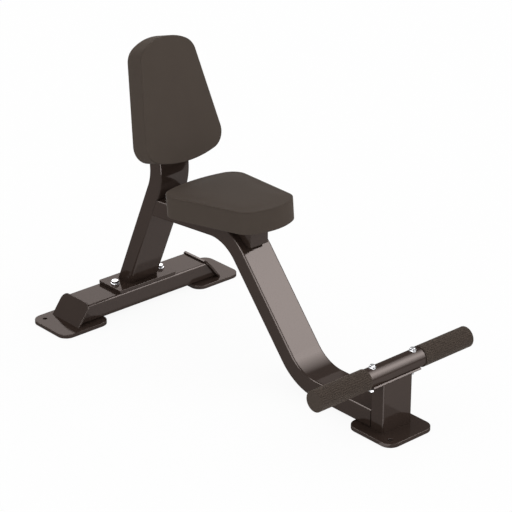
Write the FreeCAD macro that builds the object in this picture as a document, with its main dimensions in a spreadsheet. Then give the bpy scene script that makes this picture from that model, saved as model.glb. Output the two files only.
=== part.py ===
import FreeCAD, Part
import os
import Sketcher

# Upright bench with a foot bar: a bent rectangular-tube spine joins a leaning upright to a low
# front post, on three foot plates. Millimetres, +Z up, the user faces -Y, and the origin is on
# the floor under the middle of the bench.

V = FreeCAD.Vector
START, END = 1, 2
ORIGIN = (-1, 1)
SIDES = {"left": -1, "right": 1}

SIZES = {
    # rectangular tube of the whole frame
    "tube_wide": 100, "tube_deep": 50, "tube_wall": 3, "tube_round": 6, "bend_radius": 140,
    # foot plates and the holes for floor bolts
    "half_length": 583, "foot_wide": 160, "foot_deep": 156, "foot_thick": 11, "foot_round": 30,
    "rear_foot_x": 237, "floor_hole": 12,
    "front_hole_x": 55, "front_hole_y": 54, "rear_hole_x": 51, "rear_hole_y": 50.5,
    # rear crossbeam and the plates that close its slanted ends
    "beam_half": 256, "end_slope": 53.4, "end_thick": 6, "end_wide": 120,
    "end_rise": 57.5, "end_round": 22,
    # flange between crossbeam and upright
    "flange_wide": 200, "flange_deep": 98, "flange_thick": 10, "flange_round": 4,
    "flange_bolt_x": 80, "flange_bolt": 12, "flange_bolt_flats": 18, "flange_bolt_head": 7.5,
    "flange_bolt_long": 30, "flange_washer": 24, "flange_washer_thick": 2.5, "flange_nut": 10,
    # upright: straight, bend, straight, from the flange up
    "upright_lean": 23.85, "recline": 15.9, "upright_lower": 346.1, "upright_upper": 226,
    "cap_thick": 3, "cap_plug": 12, "cap_wall": 2.5,
    # spine: flat, bend, incline, bend, rail, from the front post back
    "spine_flat": 202.6, "spine_incline": 291.5, "spine_rail": 242, "incline_slope": 49.6,
    "seat_tilt": 5.05,
    # front post and foot bar
    "post_deep": 45, "post_round": 5, "cradle_half": 82, "cradle_thick": 6, "cradle_span": 45,
    "bar_rise": 158.9, "bar_round": 25.4, "bar_wall": 3, "bar_half": 260, "bar_bolt_x": 70,
    "bar_bolt": 8,
    "bar_bolt_flats": 13, "bar_bolt_head": 5.3, "bar_bolt_long": 70, "bar_nut": 6.5,
    "bar_washer": 17, "bar_washer_thick": 1.6, "saddle": 19, "saddle_rise": 2.4,
    "grip_round": 28, "grip_start": 94, "grip_end": 264, "grip_edge": 2.5,
    # pads: wide end, narrow end, and how far each bows out
    "pad_wide": 268, "pad_narrow": 178.5, "pad_long": 275.5, "pad_bow_wide": 28.5,
    "pad_bow_narrow": 32.5, "pad_round_wide": 49, "pad_round_narrow": 50, "pad_thick": 62,
    "pad_edge": 3, "board_thick": 15, "board_inset": 6,
    # where the pads lie on the rail and on the upright
    "seat_back": 85.3, "back_start": 10.6,
    # seat support
    "riser_wide": 60, "riser_deep": 60, "riser_front": 12, "riser_low": 337, "riser_high": 420,
    "seat_plate_wide": 140, "seat_plate_long": 232, "seat_plate_thick": 5,
    "seat_plate_back": 10, "seat_plate_round": 8,
    "seat_bolt_x": 60, "seat_bolt_back": 32, "seat_bolt_front": 212,
    "back_bolt_low": 55, "back_bolt_high": 175,
    "pad_bolt": 8, "pad_bolt_flats": 13, "pad_bolt_head": 5.3, "pad_bolt_bite": 13,
    "pad_washer": 20, "pad_washer_thick": 2, "tee_nut": 22, "tee_nut_thick": 1.5,
    "tee_nut_barrel": 11, "hole_play": 1,
}

# Places worked out from the sizes above, as formulas over the sheet.
REAR_Y = "(sizes.half_length - sizes.foot_deep / 2)"
FRONT_Y = f"(-{REAR_Y})"
POST_BACK_Y = f"({FRONT_Y} + sizes.post_deep / 2)"
BEAM_TOP = "(sizes.foot_thick + sizes.tube_deep)"
FLANGE_TOP = f"({BEAM_TOP} + sizes.flange_thick)"
BAR_Z = "(sizes.foot_thick + sizes.bar_rise)"
CRADLE_ROUND = "(sizes.bar_round + sizes.cradle_thick)"
CRADLE_LOW = f"({BAR_Z} - {CRADLE_ROUND})"
BAR_BOLT_HOLE = "(sizes.bar_bolt + sizes.hole_play)"

# The rail starts where the spine's second bend ends.
RAIL_Y = (f"({POST_BACK_Y} + sizes.spine_flat + sizes.spine_incline * cos(sizes.incline_slope)"
          " + sizes.bend_radius * (2 * sin(sizes.incline_slope) + sin(sizes.seat_tilt)))")
RAIL_Z = ("(sizes.foot_thick + sizes.tube_deep / 2 + sizes.spine_incline * sin(sizes.incline_slope)"
          " + sizes.bend_radius * (1 - 2 * cos(sizes.incline_slope) + cos(sizes.seat_tilt)))")
SEAT_RISE = "(sizes.tube_deep / 2 + sizes.seat_plate_thick)"
SEAT_Y = (f"({RAIL_Y} + sizes.seat_back * cos(sizes.seat_tilt)"
          f" + {SEAT_RISE} * sin(sizes.seat_tilt))")
SEAT_Z = (f"({RAIL_Z} - sizes.seat_back * sin(sizes.seat_tilt)"
          f" + {SEAT_RISE} * cos(sizes.seat_tilt))")

# The backrest lies on the front face of the upright, above the upright's bend.
BACK_Y = (f"({REAR_Y} - sizes.upright_lower * sin(sizes.upright_lean)"
          " + sizes.bend_radius * (cos(sizes.upright_lean) - cos(sizes.recline))"
          " - sizes.tube_deep / 2 * cos(sizes.recline) + sizes.back_start * sin(sizes.recline))")
BACK_Z = (f"({FLANGE_TOP} + sizes.upright_lower * cos(sizes.upright_lean)"
          " + sizes.bend_radius * (sin(sizes.upright_lean) + sin(sizes.recline))"
          " + sizes.tube_deep / 2 * sin(sizes.recline) + sizes.back_start * cos(sizes.recline))")

doc = FreeCAD.newDocument("bench")
sheet = doc.addObject("Spreadsheet::Sheet", "sizes")
for row, (alias, number) in enumerate(SIZES.items(), start=1):
    sheet.set(f"A{row}", alias)
    sheet.set(f"B{row}", str(number))
    sheet.setAlias(f"B{row}", alias)
doc.recompute()

sub_parts = []


def value(formula):
    """Number that a formula over the sheet gives now."""
    return float(sheet.evalExpression(formula))


def drive(item, **formulas):
    """Bind properties of an object to formulas over the sheet."""
    for name, formula in formulas.items():
        item.setExpression(name, formula)
    return item


def place(item, x="0", y="0", z="0", yaw="0", pitch="0", roll="0"):
    """Bind an object's place, turned about X by roll, about Y by pitch and about Z by yaw."""
    turn = f"rotation({yaw}; {pitch}; {roll})"
    return drive(item, Placement=f"placement(vector({x}; {y}; {z}); {turn})")


def on_seat(item):
    """Put an object drawn in the seat's frame on the rail: +Y to the front, +Z up through it."""
    return place(item, y=SEAT_Y, z=SEAT_Z, yaw="180", roll="sizes.seat_tilt")


def on_back(item):
    """Put an object drawn in the backrest's frame on the upright: +Y up, +Z to the front."""
    return place(item, y=BACK_Y, z=BACK_Z, roll="90 - sizes.recline")


def keep(item, label):
    """Name a finished sub-part and list it for writing."""
    item.Label = label
    sub_parts.append(item)
    return item


# ---- sketches ----

def new_body(name):
    return doc.addObject("PartDesign::Body", name)


def sketch_on(body, role, name):
    """Sketch attached to one of the body's own origin planes."""
    sketch = body.newObject("Sketcher::SketchObject", name)
    plane = next(item for item in body.Origin.OriginFeatures if item.Role == role)
    sketch.AttachmentSupport = (plane, [""])
    sketch.MapMode = "FlatFace"
    return sketch


def measure(sketch, kind, *where, formula):
    """Dimension that starts at the formula's value and is then driven by it."""
    index = sketch.addConstraint(Sketcher.Constraint(kind, *where, value(formula)))
    sketch.setExpression(f"Constraints[{index}]", formula)


def join(sketch, first, second, kind="Coincident"):
    """Tie the two ends at which two lines or arcs meet."""
    gaps = [(sketch.getPoint(first, a).distanceToPoint(sketch.getPoint(second, b)), a, b)
            for a in (START, END) for b in (START, END)]
    _, a, b = min(gaps)
    sketch.addConstraint(Sketcher.Constraint(kind, first, a, second, b))


def draw_circle(sketch, radius, x="0", y="0"):
    """Circle whose radius and centre are formulas."""
    centre = V(value(x), value(y), 0)
    circle = sketch.addGeometry(Part.Circle(centre, V(0, 0, 1), value(radius)))
    measure(sketch, "Radius", circle, formula=radius)
    measure(sketch, "DistanceX", *ORIGIN, circle, 3, formula=x)
    measure(sketch, "DistanceY", *ORIGIN, circle, 3, formula=y)


def draw_rectangle(sketch, wide, high, corner):
    """Rectangle about the origin with four round corners: straight, corner, straight, and so on."""
    half_wide, half_high, radius = value(wide) / 2, value(high) / 2, value(corner)
    inner_x, inner_y = half_wide - radius, half_high - radius
    ends = [(V(inner_x, -half_high), V(half_wide, -inner_y), V(inner_x, -inner_y)),
            (V(half_wide, inner_y), V(inner_x, half_high), V(inner_x, inner_y)),
            (V(-inner_x, half_high), V(-half_wide, inner_y), V(-inner_x, inner_y)),
            (V(-half_wide, -inner_y), V(-inner_x, -half_high), V(-inner_x, -inner_y))]
    lines, arcs = [], []
    for index, (begin, finish, centre) in enumerate(ends):
        middle = centre + ((begin + finish) * 0.5 - centre).normalize() * radius
        following = ends[(index + 1) % 4][0]
        arcs.append(sketch.addGeometry(Part.Arc(begin, middle, finish)))
        lines.append(sketch.addGeometry(Part.LineSegment(finish, following)))
    for index in range(4):
        join(sketch, arcs[index], lines[index], "Tangent")
        join(sketch, lines[index], arcs[(index + 1) % 4], "Tangent")
        measure(sketch, "Radius", arcs[index], formula=corner)
    right, top, left, bottom = lines
    for line in (right, left):
        sketch.addConstraint(Sketcher.Constraint("Vertical", line))
    for line in (top, bottom):
        sketch.addConstraint(Sketcher.Constraint("Horizontal", line))
    measure(sketch, "DistanceX", *ORIGIN, right, START, formula=f"{wide} / 2")
    measure(sketch, "DistanceX", left, START, *ORIGIN, formula=f"{wide} / 2")
    measure(sketch, "DistanceY", *ORIGIN, top, START, formula=f"{high} / 2")
    measure(sketch, "DistanceY", bottom, START, *ORIGIN, formula=f"{high} / 2")


def draw_path(sketch, first, turns):
    """Centre line of a bent tube: a run along the sketch's X, then (turn, run) pairs."""
    heading, point = 0.0, V(0, 0)
    rotate = FreeCAD.Rotation
    up = V(0, 0, 1)

    def run(length):
        nonlocal point
        finish = point + rotate(up, heading).multVec(V(value(length), 0))
        line = sketch.addGeometry(Part.LineSegment(point, finish))
        measure(sketch, "Distance", line, formula=length)
        point = finish
        return line

    def bend(turn):
        nonlocal point, heading
        side = 1 if turn > 0 else -1
        radius = value("sizes.bend_radius")
        centre = point + rotate(up, heading).multVec(V(0, side * radius))
        middle = centre + rotate(up, turn / 2).multVec(point - centre)
        finish = centre + rotate(up, turn).multVec(point - centre)
        arc = sketch.addGeometry(Part.Arc(point, middle, finish))
        measure(sketch, "Radius", arc, formula="sizes.bend_radius")
        point, heading = finish, heading + turn
        return arc

    last = run(first)
    sketch.addConstraint(Sketcher.Constraint("Coincident", last, START, *ORIGIN))
    sketch.addConstraint(Sketcher.Constraint("Horizontal", last))
    slope = "0"
    for turn, length in turns:
        arc = bend(value(turn))
        line = run(length)
        join(sketch, last, arc, "Tangent")
        join(sketch, arc, line, "Tangent")
        slope = f"{slope} + {turn}"
        # The heading of each run is held against the first by the height it gains.
        measure_slope(sketch, line, slope, length)
        last = line


def measure_slope(sketch, line, slope, length):
    """Hold a run's direction by the distance that it gains along the sketch's X."""
    measure(sketch, "DistanceX", line, START, line, END, formula=f"{length} * cos({slope})")


def draw_pad_outline(sketch, inset):
    """Outline of a pad: two straight sides that close in, and two ends bowed outwards."""
    wide, narrow = f"(sizes.pad_wide - 2 * {inset})", f"(sizes.pad_narrow - 2 * {inset})"
    low, high = inset, f"(sizes.pad_long - {inset})"
    half_wide, half_narrow = value(wide) / 2, value(narrow) / 2
    wide_right, wide_left = V(half_wide, value(low)), V(-half_wide, value(low))
    narrow_right, narrow_left = V(half_narrow, value(high)), V(-half_narrow, value(high))
    wide_tip = V(0, value(low) - value("sizes.pad_bow_wide"))
    narrow_tip = V(0, value(high) + value("sizes.pad_bow_narrow"))
    right = sketch.addGeometry(Part.LineSegment(wide_right, narrow_right))
    top = sketch.addGeometry(Part.Arc(narrow_right, narrow_tip, narrow_left))
    left = sketch.addGeometry(Part.LineSegment(narrow_left, wide_left))
    bottom = sketch.addGeometry(Part.Arc(wide_left, wide_tip, wide_right))
    for first, second in ((right, top), (top, left), (left, bottom), (bottom, right)):
        join(sketch, first, second)
    measure(sketch, "DistanceX", *ORIGIN, right, START, formula=f"{wide} / 2")
    measure(sketch, "DistanceX", left, END, *ORIGIN, formula=f"{wide} / 2")
    measure(sketch, "DistanceX", *ORIGIN, right, END, formula=f"{narrow} / 2")
    measure(sketch, "DistanceX", left, START, *ORIGIN, formula=f"{narrow} / 2")
    for line, point in ((right, START), (left, END)):
        measure(sketch, "DistanceY", *ORIGIN, line, point, formula=low)
    for line, point in ((right, END), (left, START)):
        measure(sketch, "DistanceY", *ORIGIN, line, point, formula=high)
    measure(sketch, "Radius", top, formula=bow_radius(narrow, "sizes.pad_bow_narrow"))
    measure(sketch, "Radius", bottom, formula=bow_radius(wide, "sizes.pad_bow_wide"))


def bow_radius(chord, bow):
    """Radius of an arc over a chord that stands out from it by the bow."""
    return f"({chord} ^ 2 / 4 + {bow} ^ 2) / (2 * {bow})"


# ---- solids ----

def extrude(body, sketch, length, both_ways=False):
    pad = body.newObject("PartDesign::Pad", f"{body.Name}_pad")
    pad.Profile = sketch
    pad.Midplane = both_ways
    drive(pad, Length=length)
    return pad


def pocket(body, sketch, length, both_ways=False, upwards=False):
    """Cut a sketch out of the body, and check that it took something away."""
    doc.recompute()
    before = body.Shape.Volume
    cut = body.newObject("PartDesign::Pocket", f"{sketch.Name}_pocket")
    cut.Profile = sketch
    cut.Midplane = both_ways
    cut.Reversed = upwards
    drive(cut, Length=length)
    doc.recompute()
    if body.Shape.Volume >= before:
        raise RuntimeError(f"{cut.Name} cuts nothing")
    return cut


def round_edges(body, radius, picks, name="round"):
    """Fillet the edges of the body's tip that picks(edge) accepts."""
    doc.recompute()
    base = body.Tip
    names = [f"Edge{index}" for index, edge in enumerate(base.Shape.Edges, start=1) if picks(edge)]
    if not names:
        raise RuntimeError(f"{body.Name} has no edge to round")
    fillet = body.newObject("PartDesign::Fillet", f"{body.Name}_{name}")
    fillet.Base = (base, names)
    drive(fillet, Radius=radius)
    return fillet


def along(direction):
    """Test for straight edges that run along a direction."""
    def test(edge):
        return (edge.Curve.TypeId == "Part::GeomLine"
                and abs(edge.Curve.Direction.dot(direction)) > 1 - 1e-6)
    return test


def at_height(height):
    """Test for edges that lie wholly at one height."""
    def test(edge):
        box = edge.BoundBox
        return abs(box.ZMin - height) < 1e-4 and abs(box.ZMax - height) < 1e-4
    return test


def plate(name, wide, deep, thick, corner, holes=(), hole="0"):
    """Flat plate with round corners about its own origin, its underside at zero."""
    body = new_body(name)
    outline = sketch_on(body, "XY_Plane", f"{name}_outline")
    draw_rectangle(outline, wide, deep, corner)
    extrude(body, outline, thick)
    if holes:
        drilling = sketch_on(body, "XY_Plane", f"{name}_holes")
        for x, y in holes:
            draw_circle(drilling, f"{hole} / 2", x, y)
        pocket(body, drilling, thick, upwards=True)
    return body


def draw_section(sketch, hollow=True):
    """Section of the frame's rectangular tube."""
    draw_rectangle(sketch, "sizes.tube_wide", "sizes.tube_deep", "sizes.tube_round")
    if hollow:
        draw_rectangle(sketch, "(sizes.tube_wide - 2 * sizes.tube_wall)",
                       "(sizes.tube_deep - 2 * sizes.tube_wall)",
                       "(sizes.tube_round - sizes.tube_wall)")


def bent_tube(name, first, turns, hollow=True):
    """Rectangular tube along a bent centre line that sets off along Y."""
    body = new_body(name)
    line = sketch_on(body, "YZ_Plane", f"{name}_line")
    draw_path(line, first, turns)
    section = sketch_on(body, "XZ_Plane", f"{name}_section")
    draw_section(section, hollow)
    doc.recompute()
    pipe = body.newObject("PartDesign::AdditivePipe", f"{name}_pipe")
    pipe.Profile = section
    pipe.Spine = (line, [])
    return body


def box(name, length, width, height):
    return drive(doc.addObject("Part::Box", name), Length=length, Width=width, Height=height)


def cylinder(name, radius, height):
    return drive(doc.addObject("Part::Cylinder", name), Radius=radius, Height=height)


def group(name, items):
    """Separate solids kept together as one object."""
    compound = doc.addObject("Part::Compound", name)
    compound.Links = list(items)
    return compound


def cut(name, base, tools):
    """Base less all the tools."""
    difference = doc.addObject("Part::Cut", name)
    difference.Base = base
    difference.Tool = tools[0] if len(tools) == 1 else group(f"{name}_tools", tools)
    return difference


def hexagon(name, flats, height):
    """Six-sided prism with the corners of its top turned off at 30 degrees."""
    prism = drive(doc.addObject("Part::Prism", f"{name}_prism"),
                  Circumradius=f"{flats} / sqrt(3)", Height=height)
    prism.Polygon = 6
    cone = drive(doc.addObject("Part::Cone", f"{name}_cone"),
                 Radius1=f"{flats} * 0.475 + {height} * sqrt(3)", Radius2=f"{flats} * 0.475",
                 Height=height)
    head = doc.addObject("Part::Common", f"{name}_hexagon")
    head.Base, head.Tool = prism, cone
    return head


def bolt(name, thread, flats, head_height, long):
    """Hexagon bolt: the head stands on zero and the shank hangs below it."""
    shank = place(cylinder(f"{name}_shank", f"{thread} / 2", long), z=f"-{long}")
    whole = doc.addObject("Part::Fuse", name)
    whole.Base, whole.Tool = hexagon(name, flats, head_height), shank
    return whole


def ring(name, outer, inner, thick):
    """Flat washer by its two diameters, standing on zero."""
    disc = cylinder(f"{name}_disc", f"{outer} / 2", thick)
    bore = cylinder(f"{name}_bore", f"{inner} / 2", thick)
    return cut(name, disc, [bore])


def nut(name, thread, flats, thick):
    bore = cylinder(f"{name}_bore", f"({thread} + sizes.hole_play) / 2", thick)
    return cut(name, hexagon(name, flats, thick), [bore])


def repeated(label, make, places):
    """Group of like fasteners, one at each place."""
    items = []
    for index, where in enumerate(places, start=1):
        items.append(place(make(f"{label}_{index}"), **where))
    return group(f"{label}_group", items)



# ---- rear foot ----

def draw_polygon(sketch, points):
    """Closed outline through corners given as pairs of formulas."""
    corners = [V(value(x), value(y)) for x, y in points]
    lines = [sketch.addGeometry(Part.LineSegment(corners[index - 1], corner))
             for index, corner in enumerate(corners)]
    for index, (x, y) in enumerate(points):
        join(sketch, lines[index - 1], lines[index])
        measure(sketch, "DistanceX", *ORIGIN, lines[index], END, formula=x)
        measure(sketch, "DistanceY", *ORIGIN, lines[index], END, formula=y)


def rear_crossbeam():
    """Tube across the back, with both ends cut to the lean of the end plates."""
    body = new_body("crossbeam")
    section = sketch_on(body, "YZ_Plane", "crossbeam_section")
    draw_section(section)
    extrude(body, section, "2 * sizes.beam_half", both_ways=True)
    half = "sizes.tube_deep / 2"
    low_x = "(sizes.beam_half - sizes.end_thick / sin(sizes.end_slope))"
    high_x = f"({low_x} - sizes.tube_deep / tan(sizes.end_slope))"
    for side, sign in SIDES.items():
        wedge = sketch_on(body, "XZ_Plane", f"crossbeam_{side}_end")
        outer = f"{sign} * (sizes.beam_half + 1)"
        draw_polygon(wedge, [(f"{sign} * {low_x}", f"-{half}"), (outer, f"-{half}"),
                             (outer, half), (f"{sign} * {high_x}", half)])
        pocket(body, wedge, "2 * sizes.tube_wide", both_ways=True)
    drilling = sketch_on(body, "XY_Plane", "crossbeam_holes")
    for sign in SIDES.values():
        draw_circle(drilling, "(sizes.flange_bolt + sizes.hole_play) / 2",
                    f"{sign} * sizes.flange_bolt_x")
    pocket(body, drilling, half, upwards=True)
    place(body, y=REAR_Y, z=f"sizes.foot_thick + {half}")
    keep(body, "rear_crossbeam")


def crossbeam_end_plates():
    """Leaning plates that close the crossbeam, proud of its top, with two round corners."""
    rise = "sizes.end_rise"
    for side, sign in SIDES.items():
        body = new_body(f"end_plate_{side}")
        profile = sketch_on(body, "XZ_Plane", f"end_plate_{side}_profile")
        low_out = "sizes.beam_half"
        high_out = f"({low_out} - {rise} / tan(sizes.end_slope))"
        low_in = f"({low_out} - sizes.end_thick / sin(sizes.end_slope))"
        draw_polygon(profile, [
            (f"{sign} * {low_out}", "0"), (f"{sign} * {high_out}", rise),
            (f"{sign} * ({high_out} - sizes.end_thick * sin(sizes.end_slope))",
             f"{rise} - sizes.end_thick * cos(sizes.end_slope)"),
            (f"{sign} * {low_in}", "0")])
        extrude(body, profile, "sizes.end_wide", both_ways=True)
        thick, half_rise = value("sizes.end_thick"), value(rise) / 2
        round_edges(body, "sizes.end_round",
                    lambda edge: abs(edge.Length - thick) < 0.01 and edge.BoundBox.ZMin > half_rise)
        place(body, y=REAR_Y, z="sizes.foot_thick")
        keep(body, f"crossbeam_end_plate_{side}")


def foot_plates():
    """Floor plates: one under the front post and one under each end of the crossbeam."""
    size_and_hole = ("sizes.foot_wide", "sizes.foot_deep", "sizes.foot_thick", "sizes.foot_round")
    front = plate("front_foot", *size_and_hole, [("-sizes.front_hole_x", "-sizes.front_hole_y")],
                  "sizes.floor_hole")
    keep(place(front, y=FRONT_Y), "front_foot_plate")
    for side, sign in SIDES.items():
        rear = plate(f"rear_foot_{side}", *size_and_hole,
                     [(f"{sign} * sizes.rear_hole_x", "sizes.rear_hole_y")], "sizes.floor_hole")
        keep(place(rear, x=f"{sign} * sizes.rear_foot_x", y=REAR_Y), f"rear_foot_plate_{side}")


def both_sides(x, y, z, **turn):
    """A place on each side of the middle, as arguments for place()."""
    return [dict(x=f"{sign} * {x}", y=y, z=z, **turn) for sign in SIDES.values()]


def upright_flange():
    """Plate welded under the upright and bolted down to weld nuts inside the crossbeam."""
    holes = [(f"{sign} * sizes.flange_bolt_x", "0") for sign in SIDES.values()]
    flange = plate("flange", "sizes.flange_wide", "sizes.flange_deep", "sizes.flange_thick",
                   "sizes.flange_round", holes, "(sizes.flange_bolt + sizes.hole_play)")
    keep(place(flange, y=REAR_Y, z=BEAM_TOP), "upright_base_flange")

    washers = repeated("flange_washer", lambda name: ring(
        name, "sizes.flange_washer", "(sizes.flange_bolt + sizes.hole_play)",
        "sizes.flange_washer_thick"), both_sides("sizes.flange_bolt_x", REAR_Y, FLANGE_TOP))
    keep(washers, "flange_washers")

    head_z = f"{FLANGE_TOP} + sizes.flange_washer_thick"
    bolts = repeated("flange_bolt", lambda name: bolt(
        name, "sizes.flange_bolt", "sizes.flange_bolt_flats", "sizes.flange_bolt_head",
        "sizes.flange_bolt_long"), both_sides("sizes.flange_bolt_x", REAR_Y, head_z))
    keep(bolts, "flange_bolts")

    nut_z = f"{BEAM_TOP} - sizes.tube_wall - sizes.flange_nut"
    nuts = repeated("flange_nut", lambda name: nut(
        name, "sizes.flange_bolt", "sizes.flange_bolt_flats", "sizes.flange_nut"),
        both_sides("sizes.flange_bolt_x", REAR_Y, nut_z))
    keep(nuts, "flange_weld_nuts")


# ---- upright ----

def upright():
    """Leaning tube with one bend, so that its top lies along the back of the backrest."""
    turns = [("-(sizes.upright_lean + sizes.recline)", "sizes.upright_upper")]
    spare = "sizes.tube_deep"
    placed = dict(y=f"{REAR_Y} + {spare} * sin(sizes.upright_lean)",
                  z=f"{FLANGE_TOP} - {spare} * cos(sizes.upright_lean)",
                  roll="90 + sizes.upright_lean")
    first = f"(sizes.upright_lower + {spare})"
    tube = place(bent_tube("upright_tube", first, turns), **placed)
    solid = place(bent_tube("upright_solid", first, turns, hollow=False), **placed)
    below = place(box("below_flange", "2 * sizes.tube_wide", "2 * sizes.tube_wide", FLANGE_TOP),
                  x="-sizes.tube_wide", y=f"{REAR_Y} - sizes.tube_wide")
    drilling = on_back(group("upright_drilling", [
        place(cylinder(f"upright_hole_{index}", "(sizes.pad_bolt + sizes.hole_play) / 2",
                       "2 * sizes.tube_deep"), y=height, z="-1.5 * sizes.tube_deep")
        for index, height in enumerate(("sizes.back_bolt_low", "sizes.back_bolt_high"), 1)]))
    keep(cut("upright_cut", tube, [below, drilling]), "upright")
    return solid


def upright_cap():
    """Plug for the open top of the upright: a lid and a hollow collar inside the tube."""
    body = new_body("cap")
    outline = sketch_on(body, "XY_Plane", "cap_outline")
    draw_rectangle(outline, "sizes.tube_wide", "sizes.tube_deep", "sizes.tube_round")
    extrude(body, outline, "sizes.cap_thick")
    collar = sketch_on(body, "XY_Plane", "cap_collar")
    for inset in ("sizes.tube_wall", "(sizes.tube_wall + sizes.cap_wall)"):
        draw_rectangle(collar, f"(sizes.tube_wide - 2 * {inset})",
                       f"(sizes.tube_deep - 2 * {inset})", "sizes.tube_wall")
    extrude(body, collar, "sizes.cap_plug").Reversed = True
    top = "(sizes.upright_upper - sizes.back_start)"
    turned = on_back(group("cap_on_back", [
        place(body, y=top, z="-sizes.tube_deep / 2", roll="-90")]))
    keep(turned, "upright_top_cap")


# ---- spine ----

def spine(upright_solid):
    """Main tube: flat from the post, up the incline, and back along the rail to the upright."""
    turns = [("sizes.incline_slope", "sizes.spine_incline"),
             ("-(sizes.incline_slope + sizes.seat_tilt)", "sizes.spine_rail")]
    placed = dict(y=POST_BACK_Y, z="sizes.foot_thick + sizes.tube_deep / 2")
    tube = place(bent_tube("spine_tube", "sizes.spine_flat", turns), **placed)
    solid = place(bent_tube("spine_solid", "sizes.spine_flat", turns, hollow=False), **placed)
    keep(cut("spine_cut", tube, [upright_solid]), "spine")
    return solid


# ---- front post and foot bar ----

def along_bar(name, radius):
    """Cylinder on the foot bar's axis."""
    return place(cylinder(name, radius, "2 * sizes.bar_half"),
                 x="-sizes.bar_half", y=FRONT_Y, z=BAR_Z, pitch="90")


def drill_for_bar_bolts(body):
    """Upright hole for each of the two bolts that hold the bar."""
    drilling = sketch_on(body, "XY_Plane", f"{body.Name}_holes")
    for sign in SIDES.values():
        draw_circle(drilling, f"{BAR_BOLT_HOLE} / 2", f"{sign} * sizes.bar_bolt_x")
    pocket(body, drilling, "4 * sizes.bar_round", both_ways=True)


def front_post():
    """Short tube on the front foot plate, its top cut to the curve of the bar's cradle."""
    body = new_body("post")
    section = sketch_on(body, "XY_Plane", "post_section")
    draw_rectangle(section, "sizes.tube_wide", "sizes.post_deep", "sizes.post_round")
    draw_rectangle(section, "(sizes.tube_wide - 2 * sizes.tube_wall)",
                   "(sizes.post_deep - 2 * sizes.tube_wall)",
                   "(sizes.post_round - sizes.tube_wall)")
    extrude(body, section, f"(sizes.bar_rise - {CRADLE_ROUND} * cos(sizes.cradle_span))")
    place(body, y=FRONT_Y, z="sizes.foot_thick")
    keep(cut("post_cut", body, [along_bar("post_seat", CRADLE_ROUND)]), "front_post")


def foot_bar_cradle():
    """Curved plate that the bar lies in: the low part of a ring, its rims cut to the axis."""
    body = new_body("cradle")
    section = sketch_on(body, "YZ_Plane", "cradle_section")
    draw_circle(section, CRADLE_ROUND)
    draw_circle(section, "sizes.bar_round")
    extrude(body, section, "2 * sizes.cradle_half", both_ways=True)
    far = "2 * sizes.bar_round"
    out, down = f"{far} * sin(sizes.cradle_span)", f"-{far} * cos(sizes.cradle_span)"
    above = sketch_on(body, "YZ_Plane", "cradle_above")
    draw_polygon(above, [("0", "0"), (f"-{out}", down), (f"-{far}", far), (far, far), (out, down)])
    pocket(body, above, "2 * sizes.bar_half", both_ways=True)
    drill_for_bar_bolts(body)
    keep(place(body, y=FRONT_Y, z=BAR_Z), "foot_bar_cradle")


def foot_bar():
    """Round tube across the cradle, with a closed sleeve grip on each end."""
    body = new_body("bar")
    section = sketch_on(body, "YZ_Plane", "bar_section")
    draw_circle(section, "sizes.bar_round")
    draw_circle(section, "(sizes.bar_round - sizes.bar_wall)")
    extrude(body, section, "2 * sizes.bar_half", both_ways=True)
    drill_for_bar_bolts(body)
    keep(place(body, y=FRONT_Y, z=BAR_Z), "foot_bar")

    for side, sign in SIDES.items():
        grip(side, sign)


def grip(side, sign):
    """Sleeve pushed over one end of the bar, closed at its outer end."""
    body = new_body(f"grip_{side}")
    outline = sketch_on(body, "YZ_Plane", f"grip_{side}_outline")
    draw_circle(outline, "sizes.grip_round")
    extrude(body, outline, "sizes.grip_end - sizes.grip_start")
    round_edges(body, "sizes.grip_edge", lambda edge: edge.BoundBox.XLength < 0.001)
    bore = sketch_on(body, "YZ_Plane", f"grip_{side}_bore")
    draw_circle(bore, "sizes.bar_round")
    pocket(body, bore, "sizes.bar_half - sizes.grip_start", upwards=True)
    yaw = "180" if sign < 0 else "0"
    keep(place(body, x=f"{sign} * sizes.grip_start", y=FRONT_Y, z=BAR_Z, yaw=yaw),
         f"foot_grip_{side}")


def shaped_washers(label, outer, low, tall, around):
    """Washer at each bar bolt, hollowed to the curve of what it lies against."""
    blanks = repeated(label, lambda name: ring(name, outer, BAR_BOLT_HOLE, tall),
                      both_sides("sizes.bar_bolt_x", FRONT_Y, low))
    return cut(f"{label}s_cut", blanks, [along_bar(f"{label}_curve", around)])


def foot_bar_fasteners():
    """Two through bolts with shaped washers on the bar and under the cradle, and nuts."""
    seat_z = f"({BAR_Z} + sizes.bar_round + sizes.saddle_rise)"
    blank = "(2 * sizes.saddle_rise + 1)"
    keep(shaped_washers("saddle", "sizes.saddle", f"{seat_z} - {blank}", blank,
                        "sizes.bar_round"), "foot_bar_saddle_washers")

    bolts = repeated("bar_bolt", lambda name: bolt(
        name, "sizes.bar_bolt", "sizes.bar_bolt_flats", "sizes.bar_bolt_head",
        "sizes.bar_bolt_long"), both_sides("sizes.bar_bolt_x", FRONT_Y, seat_z))
    keep(bolts, "foot_bar_bolts")

    washer_z = f"({CRADLE_LOW} - sizes.bar_washer_thick)"
    keep(shaped_washers("bar_washer", "sizes.bar_washer", washer_z,
                        "(sizes.bar_washer_thick + sizes.saddle_rise)", CRADLE_ROUND),
         "foot_bar_washers")

    nuts = repeated("bar_nut", lambda name: nut(
        name, "sizes.bar_bolt", "sizes.bar_bolt_flats", "sizes.bar_nut"),
        both_sides("sizes.bar_bolt_x", FRONT_Y, washer_z, roll="180"))
    keep(nuts, "foot_bar_nuts")


# ---- pads ----

def pad_blank(name, inset, thick):
    """Flat blank of the pad's outline, set in by the inset."""
    body = new_body(name)
    outline = sketch_on(body, "XY_Plane", f"{name}_outline")
    draw_pad_outline(outline, inset)
    extrude(body, outline, thick)
    round_pad_corners(body, inset)
    return body


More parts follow.
